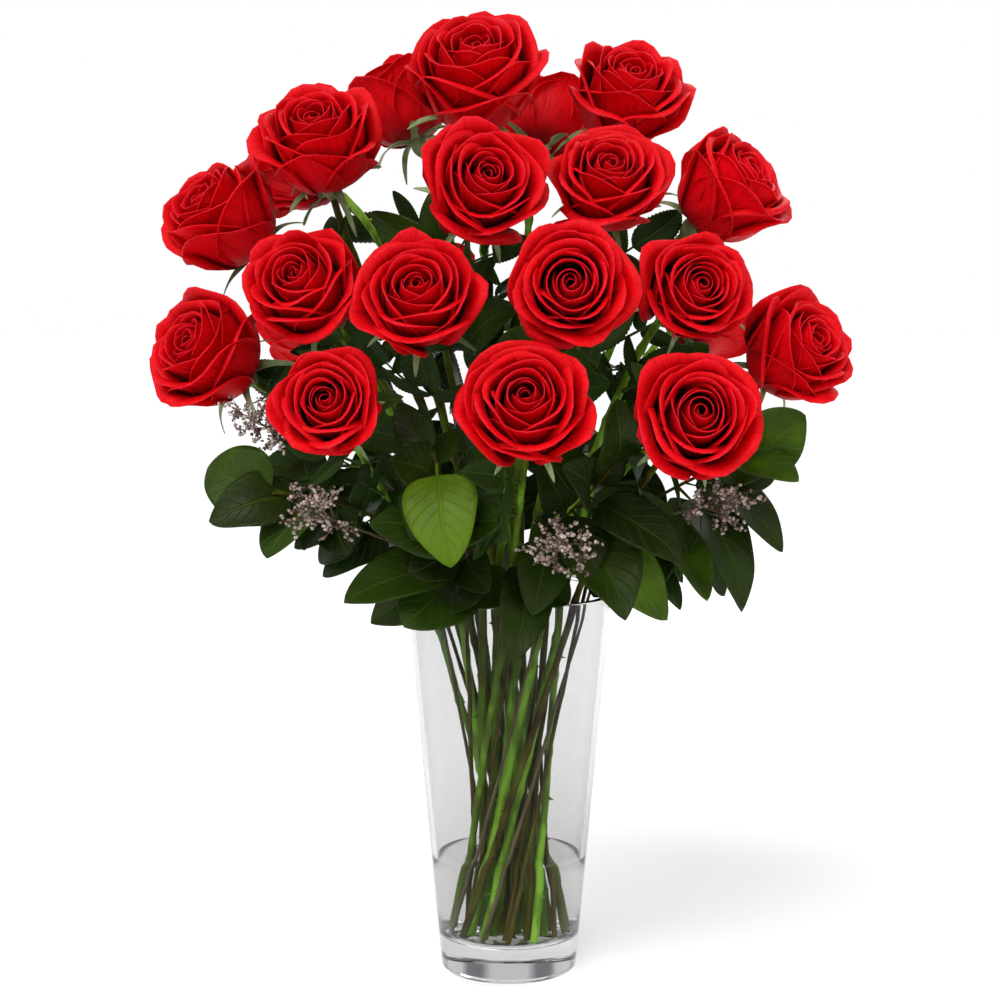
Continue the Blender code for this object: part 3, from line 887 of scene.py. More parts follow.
def leaf_mesh(name, parts):
    points = np.concatenate([p[0] for p in parts])
    faces, alongs, acrosses, first = [], [], [], 0
    for part_points, part_faces, along, across in parts:
        faces.append(part_faces + first)
        first += len(part_points)
        alongs.append(np.zeros(len(part_points)) if along is None else np.tile(along.ravel(), 2))
        acrosses.append(np.zeros(len(part_points)) if across is None else np.tile(across.ravel(), 2))
    return mesh_from_arrays(name, points, np.concatenate(faces), {
        "leaf_along": np.concatenate(alongs), "leaf_across": np.concatenate(acrosses),
    })


def rose_leaf_mesh(name, phase):
    """A stalk with one leaflet at its end and a pair part of the way down, all with saw teeth."""
    parts = []
    steps = np.linspace(0.0, 0.46, 8)
    spine = np.stack([steps, steps * 0.0, 0.05 * np.sin(math.pi * steps)], -1)
    stalk, stalk_faces = tube_arrays(spine, np.linspace(0.085, 0.05, 8), np.linspace(0.013, 0.009, 8))
    parts.append((stalk, stalk_faces, None, None))
    for turn, root, length, half_width in (
        (0.0, 0.40, 0.60, 0.80), (0.95, 0.26, 0.36, 0.42), (-0.95, 0.24, 0.33, 0.40),
    ):
        grid, along, across = blade_grid(45, 7, 0.0, 0.03, 0.10, -0.06, 0.0, 0.13, phase + turn)
        local = grid * np.array([length, half_width * LEAFLET_Y_SHARE, length])
        cosine, sine = math.cos(turn), math.sin(turn)
        x = root + local[..., 0] * cosine - local[..., 1] * sine
        y = (local[..., 0] * sine + local[..., 1] * cosine) / LEAFLET_Y_SHARE
        z = local[..., 2] + 0.05 * math.sin(math.pi * root)
        points, faces = close_shell(np.stack([x, y, z], -1), 0.006)
        parts.append((points, faces, along, across))
    return leaf_mesh(name, parts)


leaf_shapes = bpy.data.collections.new("lemon_leaf_shapes")
for letter, arch, fold, curl, sway, phase in (
    ("a", 0.070, 0.055, -0.05, 0.00, 0.0), ("b", 0.085, 0.040, -0.10, 0.05, 1.7),
    ("c", 0.055, 0.075, 0.02, -0.06, 3.1), ("d", 0.075, 0.050, -0.16, 0.02, 4.6),
):
    shape = lemon_leaf_mesh("lemon_leaf_" + letter, arch, fold, curl, sway, phase)
    leaf_shapes.objects.link(bpy.data.objects.new(shape.name, shape))
rose_leaf_shapes = bpy.data.collections.new("rose_leaf_shapes")
for letter, phase in (("a", 0.4), ("b", 2.6)):
    shape = rose_leaf_mesh("rose_leaf_" + letter, phase)
    rose_leaf_shapes.objects.link(bpy.data.objects.new(shape.name, shape))

# %% [markdown]
# ## Leaves on their twigs
#
# A Geometry Nodes tree sets a leaf shape on every site. A site is one loose point that carries four things: how
# the leaf is turned, how it is stretched, which shape it takes and how bright it is. After the copies are made
# real, a noise field bends each blade a little more towards its tip, so that no two leaves match. Beside each
# broad leaf of the frame grow two smaller ones, and each rose stem carries three more leaves of its own. The frame
# doesn't have these: they only fill the bouquet's collar.

# %%
# The tree that sets leaves on sites


def make_leaf_tree():
    tree, given, out = new_geometry_tree("leaves_on_sites", [
        ("Shapes", "Collection"), ("Bend", "Float"), ("Seed", "Int"), ("Skin", "Material"),
    ])
    shapes = add_node(tree, "GeometryNodeCollectionInfo", {
        "Collection": given["Shapes"], "Separate Children": True, "Reset Children": True,
    })
    turn = named_field(tree, "turn", "FLOAT_VECTOR")
    rotation = add_node(tree, "FunctionNodeEulerToRotation", {"Euler": turn})
    leaves = add_node(tree, "GeometryNodeInstanceOnPoints", {
        "Points": given["Geometry"], "Instance": shapes.outputs[0], "Pick Instance": True,
        "Instance Index": named_field(tree, "kind", "INT"), "Rotation": rotation.outputs[0],
        "Scale": named_field(tree, "stretch", "FLOAT_VECTOR"),
    })
    leaves = add_node(tree, "GeometryNodeRealizeInstances", {"Geometry": leaves.outputs[0]})
    seed = maths(tree, "MULTIPLY", given["Seed"], 3.3)
    towards_tip = maths(tree, "POWER", named_field(tree, "leaf_along", "FLOAT"), 1.5)
    amount = maths(tree, "MULTIPLY", towards_tip, given["Bend"])
    leaves = add_node(tree, "GeometryNodeSetPosition", {
        "Geometry": leaves.outputs[0], "Offset": wander(tree, 17.0, seed, amount),
    })
    coat(tree, leaves, given["Skin"], out)
    return tree


FACE_UP = 0.6
FACE_FORWARD = 0.9


def leaf_frame(root, tip):
    """Length and turned axes of a leaf whose face looks outward, up, and to the front or back."""
    along = tip - root
    length = along.length
    along.normalize()
    middle = (root + tip) / 2.0
    turned_out = -FACE_FORWARD if middle.y < 0.0 else FACE_FORWARD
    outward = Vector((middle.x, middle.y, 0.0)).normalized() + Vector((0.0, turned_out, FACE_UP))
    face = (outward - along * outward.dot(along)).normalized()
    return length, Matrix((along, face.cross(along), face)).transposed()


def site_mesh(sites):
    """Loose points that carry turn, stretch, kind and tone."""
    mesh = bpy.data.meshes.new("sites")
    mesh.from_pydata([tuple(s[0]) for s in sites], [], [])
    for label, kind, column in (
        ("turn", "FLOAT_VECTOR", 1), ("stretch", "FLOAT_VECTOR", 2), ("kind", "INT", 3),
        ("tone", "FLOAT", 4),
    ):
        layer = mesh.attributes.new(label, kind, "POINT")
        for i, site in enumerate(sites):
            if kind == "FLOAT_VECTOR":
                layer.data[i].vector = site[column]
            else:
                layer.data[i].value = site[column]
    return mesh


def leaf_site(root, tip, width, kind, tone):
    length, axes = leaf_frame(root, tip)
    return root, axes.to_euler(), (length, width / 2.0, length), kind, tone


leaf_tree = make_leaf_tree()
draw = np.random.default_rng(11)
# how bright the young leaves are, by branch and leaf number counted from 0
BRIGHT_LEAVES = {
    (0, 5): 0.88, (0, 4): 0.62, (2, 1): 0.80, (3, 2): 0.85, (3, 5): 0.62, (3, 6): 0.60, (1, 5): 0.55,
}
# small leaves keep their tips above this, so that they don't hide the glass
LOWEST_SMALL_TIP = 0.231
SMALL_LEAF_WIDTH = 0.8  # of its large leaf's


def branch_sites(number_of_branch, seat, target, arrive):
    """The branch's own leaves and, beside each, two smaller ones that lean to either side."""
    sites = []
    for index, (t, tip, width) in enumerate(BRANCHES[number_of_branch][2]):
        root = point_above_rim(seat, target, arrive, t)
        tip = Vector(tip) * MM
        tone = float(np.clip(draw.normal(0.34, 0.16), 0.05, 0.60))
        tone = BRIGHT_LEAVES.get((number_of_branch, index), tone)
        sites.append(leaf_site(root, tip, width * MM, index % 4, tone))
        for way in (-1.0, 1.0):
            low = point_above_rim(seat, target, arrive, max(t - float(draw.uniform(0.06, 0.20)), 0.04))
            face = leaf_frame(root, tip)[1].col[2]
            lean = Matrix.Rotation(way * float(draw.uniform(0.45, 0.95)), 3, face)
            young = lean @ ((tip - root) * float(draw.uniform(0.60, 0.82)))
            young -= face * float(draw.uniform(0.006, 0.016))
            young.z = max(young.z, LOWEST_SMALL_TIP - low.z)
            tone = float(np.clip(draw.normal(0.26, 0.13), 0.05, 0.50))
            sites.append(leaf_site(low, low + young, width * SMALL_LEAF_WIDTH * MM, (index + 2) % 4, tone))
    return sites


branch_pieces = []
for index, branch in enumerate(BRANCHES):
    number_of_seat = len(ROSES) + index
    seat, target = seats[number_of_seat], targets[number_of_seat]
    arrive = Vector(branch[1]).normalized()
    twig = grow(stem_tree, path_mesh([stem_path(seat, target, arrive)]), {
        **NO_THORNS, "Radius": GREEN_STEM_RADIUS, "Tip Share": 0.6, "Node Gap": 0.024, "Swelling": 0.25,
        "Kink": 0.003, "Tone": 0.55, "Seed": 40 + index, "Skin": twig_brown,
    })
    leaves = grow(leaf_tree, site_mesh(branch_sites(index, seat, target, arrive)), {
        "Shapes": leaf_shapes, "Bend": 0.020, "Seed": index, "Skin": lemon_leaf_green,
    })
    name = f"lemon_leaf_branch_{index + 1}"
    branch_pieces.append(add_piece(name + "_looks", join_meshes(name, [twig, leaves]), name))
print([len(p.data.polygons) for p in branch_pieces], "faces on the branches")

# %%
# Rose stems get their own leaves and become pieces
for index, stem in enumerate(rose_stem_meshes):
    facing, sites = facings[index], []
    for rose, t, tip, width in ROSE_LEAVES:
        if rose == index + 1:
            root = point_above_rim(seats[index], targets[index], facing, t)
            sites.append(leaf_site(root, Vector(tip) * MM, width * MM, index % 2, 0.5))
    for k in range(EXTRA_STEM_LEAVES):
        t = float(draw.uniform(0.30, 0.55)) + 0.14 * k
        root = point_above_rim(seats[index], targets[index], facing, t)
        out = Vector((root.x, root.y, 0.0)).normalized() if root.xy.length > 0.01 else Vector((0.0, -1.0, 0.0))
        aside = Vector((-out.y, out.x, 0.0)) * float(draw.uniform(-1.3, 1.3))
        way_out = (out * 0.6 + aside + Vector((0.0, 0.0, float(draw.uniform(-0.3, 0.7))))).normalized()
        tip = root + way_out * float(draw.uniform(0.055, 0.075))
        width = float(draw.uniform(0.024, 0.030))
        sites.append(leaf_site(root, tip, width, k % 2, float(draw.uniform(0.1, 0.5))))
    leaves = grow(leaf_tree, site_mesh(sites), {
        "Shapes": rose_leaf_shapes, "Bend": 0.014, "Seed": index, "Skin": rose_leaf_green,
    })
    name = f"rose_{index + 1:02d}_stem"
    add_piece(name + "_looks", join_meshes(name, [stem, leaves]), name)
print("rose stems are in place")

# %% [markdown]
# ## Rose blooms
#
# An open rose is some thirty petals in a spiral. The inner ones stand upright, wrap each other tightly and have
# only a thin rolled edge. Going outward each petal is larger, leans out further and rolls its rim back, and the
# outermost lie nearly flat with a pointed middle. All of that is one rule with a handful of numbers that change
# from the heart to the outside, so plain code builds it: for each petal a side view (a cup from the base to the
# rim, then an arc that rolls over), swept round the axis, with an outline that narrows towards its sides. Nothing
# keeps neighbouring petals apart, so their rims cross in places.

# %%
# The petal rule. Each row gives a number from the heart of the rose (left) to its outermost petal (right).
STAGES = [0.0, 0.10, 0.25, 0.45, 0.65, 0.82, 1.0]
PETAL = {
    "half_wrap": [165, 140, 104, 90, 82, 74, 64],           # degrees round the axis to each side
    "rim_radius": [1.9, 4.6, 9.2, 14.9, 21.2, 27.2, 33.0],  # mm
    "rim_height": [17.0, 18.5, 19.5, 19.0, 17.0, 13.5, 6.5],  # mm
    "rim_lean": [-20, -14, -8, 0, 12, 30, 58],              # degrees from upright at the rim
    "base_lean": [50, 55, 60, 68, 76, 84, 90],              # degrees from upright at the base
    "roll": [0, 10, 45, 75, 92, 100, 85],                   # degrees that the rim turns over
    "roll_length": [1.0, 1.6, 2.8, 4.4, 6.2, 7.4, 8.0],     # mm
    "tip": [0.02, 0.02, 0.04, 0.08, 0.17, 0.25, 0.30],      # how far the middle stands above the sides
    "base_radius": [0.6, 1.6, 2.6, 3.4, 4.0, 4.4, 4.8],     # mm
    "base_height": [-21.0, -21.5, -22.0, -22.5, -23.0, -23.5, -24.0],  # mm
    "spiral": [1.0, 1.3, 1.4, 1.3, 1.2, 1.1, 0.9],          # mm that one side lies outside its neighbour
    "push_out": [0.34, 0.36, 0.40, 0.46, 0.52, 0.56, 0.56],
    "flatness": [0.0, 0.0, 0.02, 0.06, 0.11, 0.14, 0.15],
    "side_tuck": [0.0, 0.2, 0.5, 0.9, 1.4, 1.8, 2.0],       # mm
    "ruffle": [0.0, 0.1, 0.35, 0.8, 1.3, 1.8, 2.3],         # mm
    "lift": [0.0, 0.3, 0.8, 1.3, 1.9, 2.6, 3.0],            # mm
}
PETAL_ROWS, ROLL_ROWS, PETAL_COLUMNS = 12, 6, 19
PETALS_PER_ROSE = 29
PETAL_THICKNESS = 0.42  # mm


def petal_side_view(petal, end):
    """Radius and height of the cup part, for rows from the base to the rim, and the lean at the rim."""
    base = np.array([petal["base_radius"], petal["base_height"]])
    rim = np.array([petal["rim_radius"], petal["rim_height"]])
    reach = math.hypot(*(rim - base))
    base_lean, rim_lean = math.radians(petal["base_lean"]), petal["rim_angle"]
    pull_1 = base + reach * petal["push_out"] * np.array([math.sin(base_lean), math.cos(base_lean)])
    pull_2 = rim - reach * 0.36 * np.array([math.sin(rim_lean), math.cos(rim_lean)])
    t = (np.linspace(0.0, 1.0, PETAL_ROWS)[:, None] * end[None, :])[..., None]
    cup = (1 - t) ** 3 * base + 3 * (1 - t) ** 2 * t * pull_1 + 3 * (1 - t) * t * t * pull_2 + t ** 3 * rim
    e = end[:, None]
    slope = 3 * (1 - e) ** 2 * (pull_1 - base) + 6 * (1 - e) * e * (pull_2 - pull_1) + 3 * e * e * (rim - pull_2)
    return cup, np.arctan2(slope[:, 0], slope[:, 1])


def petal_grid(stage, turn, draw):
    """Points of one petal as a grid (rows, columns, 3) in mm about +Z, with its numbers up and across."""
    petal = {label: float(np.interp(stage, STAGES, row)) for label, row in PETAL.items()}
    across = np.sin(np.linspace(-1, 1, PETAL_COLUMNS) * math.pi / 2)
    half_wrap = math.radians(petal["half_wrap"] * draw.uniform(0.92, 1.08))
    petal["rim_radius"] += draw.uniform(-0.6, 0.6)
    petal["rim_height"] += draw.uniform(-1.3, 1.3)
    petal["tip"] *= draw.uniform(0.6, 1.7)
    petal["rim_angle"] = math.radians(petal["rim_lean"] + draw.uniform(-5, 5))
    roll = math.radians(petal["roll"] * draw.uniform(0.7, 1.2))
    roll_length = petal["roll_length"] * draw.uniform(0.9, 1.1)

    # outline: the full width holds most of the way up, then closes over a slightly pointed, uneven top
    skewed = np.clip(across - draw.uniform(-0.25, 0.25) * (1 - across * across), -1, 1)
    end = (1 - np.abs(across) ** 3.4) ** 0.34 * (1 - petal["tip"] * np.abs(skewed) ** 1.15)
    notch = np.sin(across * draw.uniform(4, 7) + draw.uniform(0, 6))
    end = np.clip(end - 0.018 * notch * smooth_step((stage - 0.2) * 2), 0.10, 1.0)
    cup, lean = petal_side_view(petal, end)

    # rim: rolls back more at the two corners than in the middle
    corners = draw.uniform(0.1, 1.15, 2)
    corner = np.where(skewed < 0, corners[0], corners[1]) * np.abs(skewed) ** 1.2
    amount = roll * (draw.uniform(0.20, 0.75) + 0.95 * corner)
    unrest = np.sin(3.1 * across + draw.uniform(0, 6))
    amount = amount + math.radians(14) * unrest * smooth_step((stage - 0.15) * 3)
    fade = smooth_step((end - 0.15) / 0.5)
    step = roll_length * (0.8 + 0.4 * corner) * (0.15 + 0.85 * fade) / ROLL_ROWS
    edge, rows = cup[-1].copy(), [cup]
    for k in range(1, ROLL_ROWS + 1):
        angle = lean + amount * fade * smooth_step(np.array((k - 0.4) / ROLL_ROWS))
        edge = edge + np.stack([np.sin(angle), np.cos(angle)], -1) * step[:, None]
        rows.append(edge[None].copy())
    side_view = np.concatenate(rows, 0)

    rolled = 0.80 + 0.20 * np.arange(1, ROLL_ROWS + 1) / ROLL_ROWS
    level = np.concatenate([np.linspace(0, 0.80, PETAL_ROWS), rolled])
    up = level[:, None] * (0.25 + 0.75 * end[None, :])
    angle = across[None, :] * half_wrap * (0.62 + 0.38 * smooth_step(up / 0.55))
    flattened = 1 + petal["flatness"] * (1 / np.cos(np.clip(angle, -1.05, 1.05)) - 1)
    radius = side_view[..., 0] * flattened + petal["spiral"] * across[None, :] * smooth_step(up / 0.4)
    radius -= petal["side_tuck"] * smooth_step((np.abs(across)[None, :] - 0.7) / 0.3) * smooth_step(up / 0.5)
    radius += petal["ruffle"] * np.sin(across[None, :] * draw.uniform(3, 6) + draw.uniform(0, 6)) * up ** 2
    height = side_view[..., 1]
    height = height + petal["lift"] * np.sin(across[None, :] * draw.uniform(3, 6) + draw.uniform(0, 6)) * up ** 3
    grid = np.stack([radius * np.cos(angle + turn), radius * np.sin(angle + turn), height], -1)
    return grid, up, np.broadcast_to(across[None, :], up.shape)


def bloom_arrays(seed, openness):
    """All petals of one rose, in mm about +Z."""
    draw = np.random.default_rng(seed)
    hand = 1 if draw.random() < 0.5 else -1
    points, faces, ups, acrosses, orders, backs, first = [], [], [], [], [], [], 0
    for index in range(PETALS_PER_ROSE):
        stage = index / (PETALS_PER_ROSE - 1)
        turn = hand * index * GOLDEN_ANGLE + draw.uniform(-0.14, 0.14)
        grid, up, across = petal_grid(stage ** 0.95 * openness, turn, draw)
        shell, shell_faces = close_shell(grid, PETAL_THICKNESS)
        points.append(shell)
        faces.append(shell_faces + first)
        first += len(shell)
        ups.append(np.tile(up.ravel(), 2))
        acrosses.append(np.tile(across.ravel(), 2))
        orders.append(np.full(len(shell), stage))
        backs.append(np.repeat([1.0, 0.0], len(shell) // 2))
    points = np.concatenate(points)
    # slow waves through the whole head, so that it isn't perfectly round
    phase = draw.uniform(0, 6, 6)
    q = points / 14.0
    waves = np.stack([
        np.sin(q[:, 1] + phase[0]) + 0.5 * np.sin(2 * q[:, 2] + phase[1]),
        np.sin(q[:, 0] + phase[2]) + 0.5 * np.sin(2 * q[:, 2] + phase[3]),
        0.8 * np.sin(q[:, 0] + phase[4]) * np.sin(q[:, 1] + phase[5]),
    ], -1)
    points = points + waves * 0.75 * np.clip((points[:, 2:] + 24) / 30, 0, 1)
    numbers = {
        "petal_height": np.concatenate(ups), "petal_across": np.concatenate(acrosses),
        "petal_order": np.concatenate(orders), "petal_back": np.concatenate(backs),
    }
    return points, np.concatenate(faces), numbers


print(PETALS_PER_ROSE, "petals a rose")

# %% [markdown]
# ## Hip and sepals
#
# Under the petals sits the hip, a small green urn that the stem runs into, with five pointed sepals round its top.
# On an open rose they have let go of the petals and bend out and down. Both are turned and swept like the petals.

# %%
# The calyx, then every bloom set in its place
HIP_OUTLINE = [  # height and radius in mm
    (-34.8, 2.4), (-34.0, 2.9), (-32.6, 3.9), (-30.6, 4.8), (-28.4, 5.2), (-26.2, 5.0), (-24.6, 5.4),
    (-23.4, 4.6),
]
HIP_SIDES = 14
SEPALS = 5
SEPAL_THICKNESS = 0.5  # mm
SEPAL_HALF_WIDTH = 4.2  # mm
OPENNESS = {7: 0.94, 8: 0.92, 13: 0.94, 14: 0.96}  # roses that are less open than the rest, by number


def calyx_arrays(seed):
    """Hip and sepals in mm about +Z."""
    draw = np.random.default_rng(seed)
    angle = np.arange(HIP_SIDES) * TURN / HIP_SIDES
    rings = [np.stack([r * np.cos(angle), r * np.sin(angle), np.full(HIP_SIDES, z)], -1) for z, r in HIP_OUTLINE]
    points = np.concatenate(rings)
    skin, lowest, highest = ring_faces(len(rings), HIP_SIDES)
    faces = [skin]
    for ring, flip in ((lowest, True), (highest, False)):
        cap = np.array([
            [ring[i], ring[i + 1], ring[HIP_SIDES - 2 - i], ring[HIP_SIDES - 1 - i]]
            for i in range(HIP_SIDES // 2 - 1)
        ])
        faces.append(cap[:, ::-1] if flip else cap)
    all_points, first = [points], len(points)
    t = np.linspace(0.0, 1.0, 12)[:, None]
    across = np.linspace(-1.0, 1.0, 7)[None, :]
    for k in range(SEPALS):
        turn = TURN * k / SEPALS + draw.uniform(-0.15, 0.15)
        length = draw.uniform(27.0, 38.0)
        droop = draw.uniform(-19.0, 3.0)
        out = 4.6 + length * (t - 0.22 * t ** 2)
        rise = -25.2 + droop * t ** 2 + 2.6 * np.sin(math.pi * t)
        half = SEPAL_HALF_WIDTH * (1 - t) ** 0.7 * (1 - 0.35 * np.sin(math.pi * t ** 0.8)) + 0.16
        y = across * half
        grid = np.stack([
            out * math.cos(turn) - y * math.sin(turn), out * math.sin(turn) + y * math.cos(turn),
            rise + 0.22 * np.abs(y) ** 1.4 + 0.5 * np.sin(6 * t + k) * across,
        ], -1)
        sepal, sepal_faces = close_shell(grid, SEPAL_THICKNESS)
        all_points.append(sepal)
        faces.append(sepal_faces + first)
        first += len(sepal)
    return np.concatenate(all_points), np.concatenate(faces)


def bloom_mesh(index):
    place, size = ROSES[index][:2]
    openness = OPENNESS.get(index + 1, 1.0)
    petals, petal_faces, numbers = bloom_arrays(100 + index, openness)
    calyx, calyx_faces = calyx_arrays(500 + index)
    points = np.concatenate([petals, calyx])
    faces = np.concatenate([petal_faces, calyx_faces + len(petals)])
    numbers = {label: np.concatenate([values, np.zeros(len(calyx))]) for label, values in numbers.items()}
    numbers["tone"] = np.concatenate([np.zeros(len(petals)), np.full(len(calyx), 0.55)])
    side, up = side_vectors(facings[index])
    axes = np.array([side, up, facings[index]])
    spin = GOLDEN_ANGLE * index
    turned = points @ np.array([
        [math.cos(spin), math.sin(spin), 0.0], [-math.sin(spin), math.cos(spin), 0.0], [0.0, 0.0, 1.0],
    ])
    points = (turned @ axes) * size * MM + np.array(place) * MM
    if np.linalg.det(axes) < 0:
        faces = faces[:, ::-1]
    mesh = mesh_from_arrays("bloom", points, faces, numbers)
    mesh.materials.append(petal_red)
    mesh.materials.append(calyx_green)
    slots = np.zeros(len(faces), np.int32)
    slots[len(petal_faces):] = 1
    mesh.polygons.foreach_set("material_index", slots)
    return mesh


bloom_faces = 0
for index in range(len(ROSES)):
    name = f"rose_{index + 1:02d}_bloom"
    piece = add_piece(name + "_looks", bloom_mesh(index), name)
    bloom_faces += len(piece.data.polygons)
print(bloom_faces, "faces on the blooms")

# %% [markdown]
# ## Filler sprigs
#
# The filler is a dry, wiry plant: a thin stem that forks again and again, with hundreds of bead-like buds on
# hair-thin stalks. Code draws only its skeleton of lines. The stem tree gives the lines skin, and another
# Geometry Nodes tree sets a small bead on every bud site, each with its own size and turn.

# %%
# The bud tree, the skeletons and the four sprigs


def make_bud_tree():
    tree, given, out = new_geometry_tree("buds_on_sites", [
        ("Bud Radius", "Float"), ("Seed", "Int"), ("Skin", "Material"),
    ])
    bead = add_node(tree, "GeometryNodeMeshIcoSphere", {"Radius": given["Bud Radius"], "Subdivisions": 2})
    bead = add_node(tree, "GeometryNodeTransform", {
        "Geometry": bead.outputs[0], "Scale": (0.85, 0.85, 1.25),
    })
    size = add_node(tree, "FunctionNodeRandomValue", {2: 0.65, 3: 1.35, "Seed": given["Seed"]})
    turn = add_node(tree, "FunctionNodeRandomValue", {
        0: (0.0, 0.0, 0.0), 1: (TURN, TURN, TURN), "Seed": given["Seed"],
    }, data_type="FLOAT_VECTOR")
    rotation = add_node(tree, "FunctionNodeEulerToRotation", {"Euler": turn.outputs[0]})
    buds = add_node(tree, "GeometryNodeInstanceOnPoints", {
        "Points": given["Geometry"], "Instance": bead.outputs[0], "Rotation": rotation.outputs[0],
        "Scale": size.outputs[1],
    })
    shade = add_node(tree, "FunctionNodeRandomValue", {2: 0.15, 3: 0.90, "Seed": given["Seed"]})
    buds = add_node(tree, "GeometryNodeStoreNamedAttribute", {
        "Geometry": buds.outputs[0], "Name": "tone", "Value": shade.outputs[1],
    }, data_type="FLOAT", domain="INSTANCE")
    buds = add_node(tree, "GeometryNodeRealizeInstances", {"Geometry": buds.outputs[0]})
    coat(tree, buds, given["Skin"], out)
    return tree


FORKS_PER_SPRIG = 6
SPRAYS_PER_TWIG = 7
BUDS_PER_SPRAY = 9


def sprig_skeleton(seat, target, arrive, spread, draw):
    """Lines of the sprig's twigs and the places of its buds."""
    side, up = side_vectors(arrive)
    twigs, sprays, buds = [], [], []
    for k in range(FORKS_PER_SPRIG):
        angle = GOLDEN_ANGLE * k
        fork = point_above_rim(seat, target, arrive, 0.80 + 0.035 * k)
        lean = 0.95 - 0.12 * k
        way_out = (arrive + lean * (math.cos(angle) * side + math.sin(angle) * up)).normalized()
        end = fork + way_out * (spread * MM)
        twigs.append([fork, fork.lerp(end, 0.5) + Vector(draw.normal(0, 0.0006, 3)), end])
        for spray in range(SPRAYS_PER_TWIG):
            root = fork.lerp(end, 0.35 + 0.65 * spray / (SPRAYS_PER_TWIG - 1))
            way = (way_out + Vector(draw.normal(0, 0.75, 3))).normalized()
            reach = draw.uniform(0.007, 0.014)
            sprays.append([root, root + way * reach])
            for bud in range(BUDS_PER_SPRAY):
                at = root + way * reach * (0.3 + 0.7 * bud / (BUDS_PER_SPRAY - 1))
                buds.append(at + Vector(draw.normal(0, 0.0011, 3)))
    return twigs, sprays, buds


bud_tree = make_bud_tree()
for index, (place, way, spread) in enumerate(SPRIGS):
    number_of_seat = len(ROSES) + len(BRANCHES) + index
    seat, target = seats[number_of_seat], targets[number_of_seat]
    arrive = Vector(way).normalized()
    twigs, sprays, buds = sprig_skeleton(seat, target, arrive, spread, np.random.default_rng(60 + index))
    skin = {
        **NO_THORNS, "Node Gap": 0.03, "Swelling": 0.15, "Kink": 0.002, "Tone": 0.6, "Seed": 70 + index,
        "Skin": filler_twig,
    }
    stem = grow(stem_tree, path_mesh([stem_path(seat, target, arrive)]),
                {**skin, "Radius": GREEN_STEM_RADIUS * 0.85, "Tip Share": 0.45})
    forks = grow(stem_tree, path_mesh(twigs), {**skin, "Radius": 0.0005, "Tip Share": 0.6})
    hairs = grow(stem_tree, path_mesh(sprays), {**skin, "Radius": 0.00022, "Tip Share": 0.8, "Kink": 0.0})
    bud_sites = bpy.data.meshes.new("bud_sites")
    bud_sites.from_pydata([tuple(b) for b in buds], [], [])
    beads = grow(bud_tree, bud_sites, {"Bud Radius": 0.00082, "Seed": index, "Skin": filler_bud})
    name = f"filler_sprig_{index + 1}"
    piece = add_piece(name + "_looks", join_meshes(name, [stem, forks, hairs, beads]), name)
    print(name, len(buds), "buds,", len(piece.data.polygons), "faces")

# %% [markdown]
# ## The vase and its water
#
# The vase is a tapered tumbler of clear pressed glass with a heavy base. It is turned: one outline runs from the
# middle of the foot up the outside, over the rounded lip, down the inside and back to the axis, and is swept
# round. Soft corners matter more than anything else in glass, because each one catches a line of light. The
# water is a second turned body that runs just into the glass, so that no air lies between them.

# %%
# Turned bodies


def soft_outline(corners, steps=7):
    """An outline from (radius, height, size of the round) corners, each replaced by a small curve."""
    outline = []
    for i, (r, z, size) in enumerate(corners):
        here = np.array([r, z])
        if size == 0.0:
            outline.append(here)
            continue
        before, after = np.array(corners[i - 1][:2]), np.array(corners[i + 1][:2])
        start = here + (before - here) / np.linalg.norm(before - here) * size
        end = here + (after - here) / np.linalg.norm(after - here) * size
        for t in np.linspace(0.0, 1.0, steps):
            outline.append((1 - t) ** 2 * start + 2 * t * (1 - t) * here + t * t * end)
    return outline


def split_long(outline, longest):
    """The outline with extra points on its long straight runs, which keep the shading flat there."""
    result = [outline[0]]
    for before, after in zip(outline, outline[1:]):
        parts = max(1, math.ceil(np.linalg.norm(after - before) / longest))
        result += [before + (after - before) * k / parts for k in range(1, parts + 1)]
    return result


def turned_mesh(name, outline, sides):
    """A closed body turned round Z. The outline starts and ends on the axis."""
    points, faces = [(0.0, 0.0, float(outline[0][1]))], []
    angles = [TURN * i / sides for i in range(sides)]
    for r, z in outline[1:-1]:
        points += [(r * math.cos(angle), r * math.sin(angle), z) for angle in angles]
    points.append((0.0, 0.0, float(outline[-1][1])))
    last = len(points) - 1
    for i in range(sides):
        j = (i + 1) % sides
        faces.append((0, 1 + j, 1 + i))
        for level in range(len(outline) - 3):
            a, b = 1 + level * sides, 1 + (level + 1) * sides
            faces.append((a + i, a + j, b + j, b + i))
        top = 1 + (len(outline) - 3) * sides
        faces.append((top + i, top + j, last))
    mesh = bpy.data.meshes.new(name)
    mesh.from_pydata(points, [], faces)
    mesh.polygons.foreach_set("use_smooth", [True] * len(mesh.polygons))
    return mesh


WATER_TOP = 0.070
TURNED_SIDES = 128
LONGEST_RUN = 0.010
INTO_GLASS = 0.00025
inner_floor = vase_outer_radius(BASE_THICKNESS) - WALL
vase_outline = split_long(soft_outline([
    (0.0, 0.0014, 0.0),  # the foot is hollowed a little inside its ring
    (0.0300, 0.0014, 0.003),
    (0.0335, 0.0, 0.0012),
    (FOOT_RADIUS, 0.0, 0.0034),
    (RIM_RADIUS, VASE_HEIGHT, 0.0013),
    (RIM_RADIUS - WALL, VASE_HEIGHT, 0.0013),
    (inner_floor, BASE_THICKNESS, 0.0060),
    (0.0, BASE_THICKNESS - 0.0004, 0.0),
]), LONGEST_RUN)
vase_mesh = turned_mesh("vase", vase_outline, TURNED_SIDES)
vase_mesh.materials.append(clear_glass)
add_piece("glass_vase_looks", vase_mesh, "glass_vase")

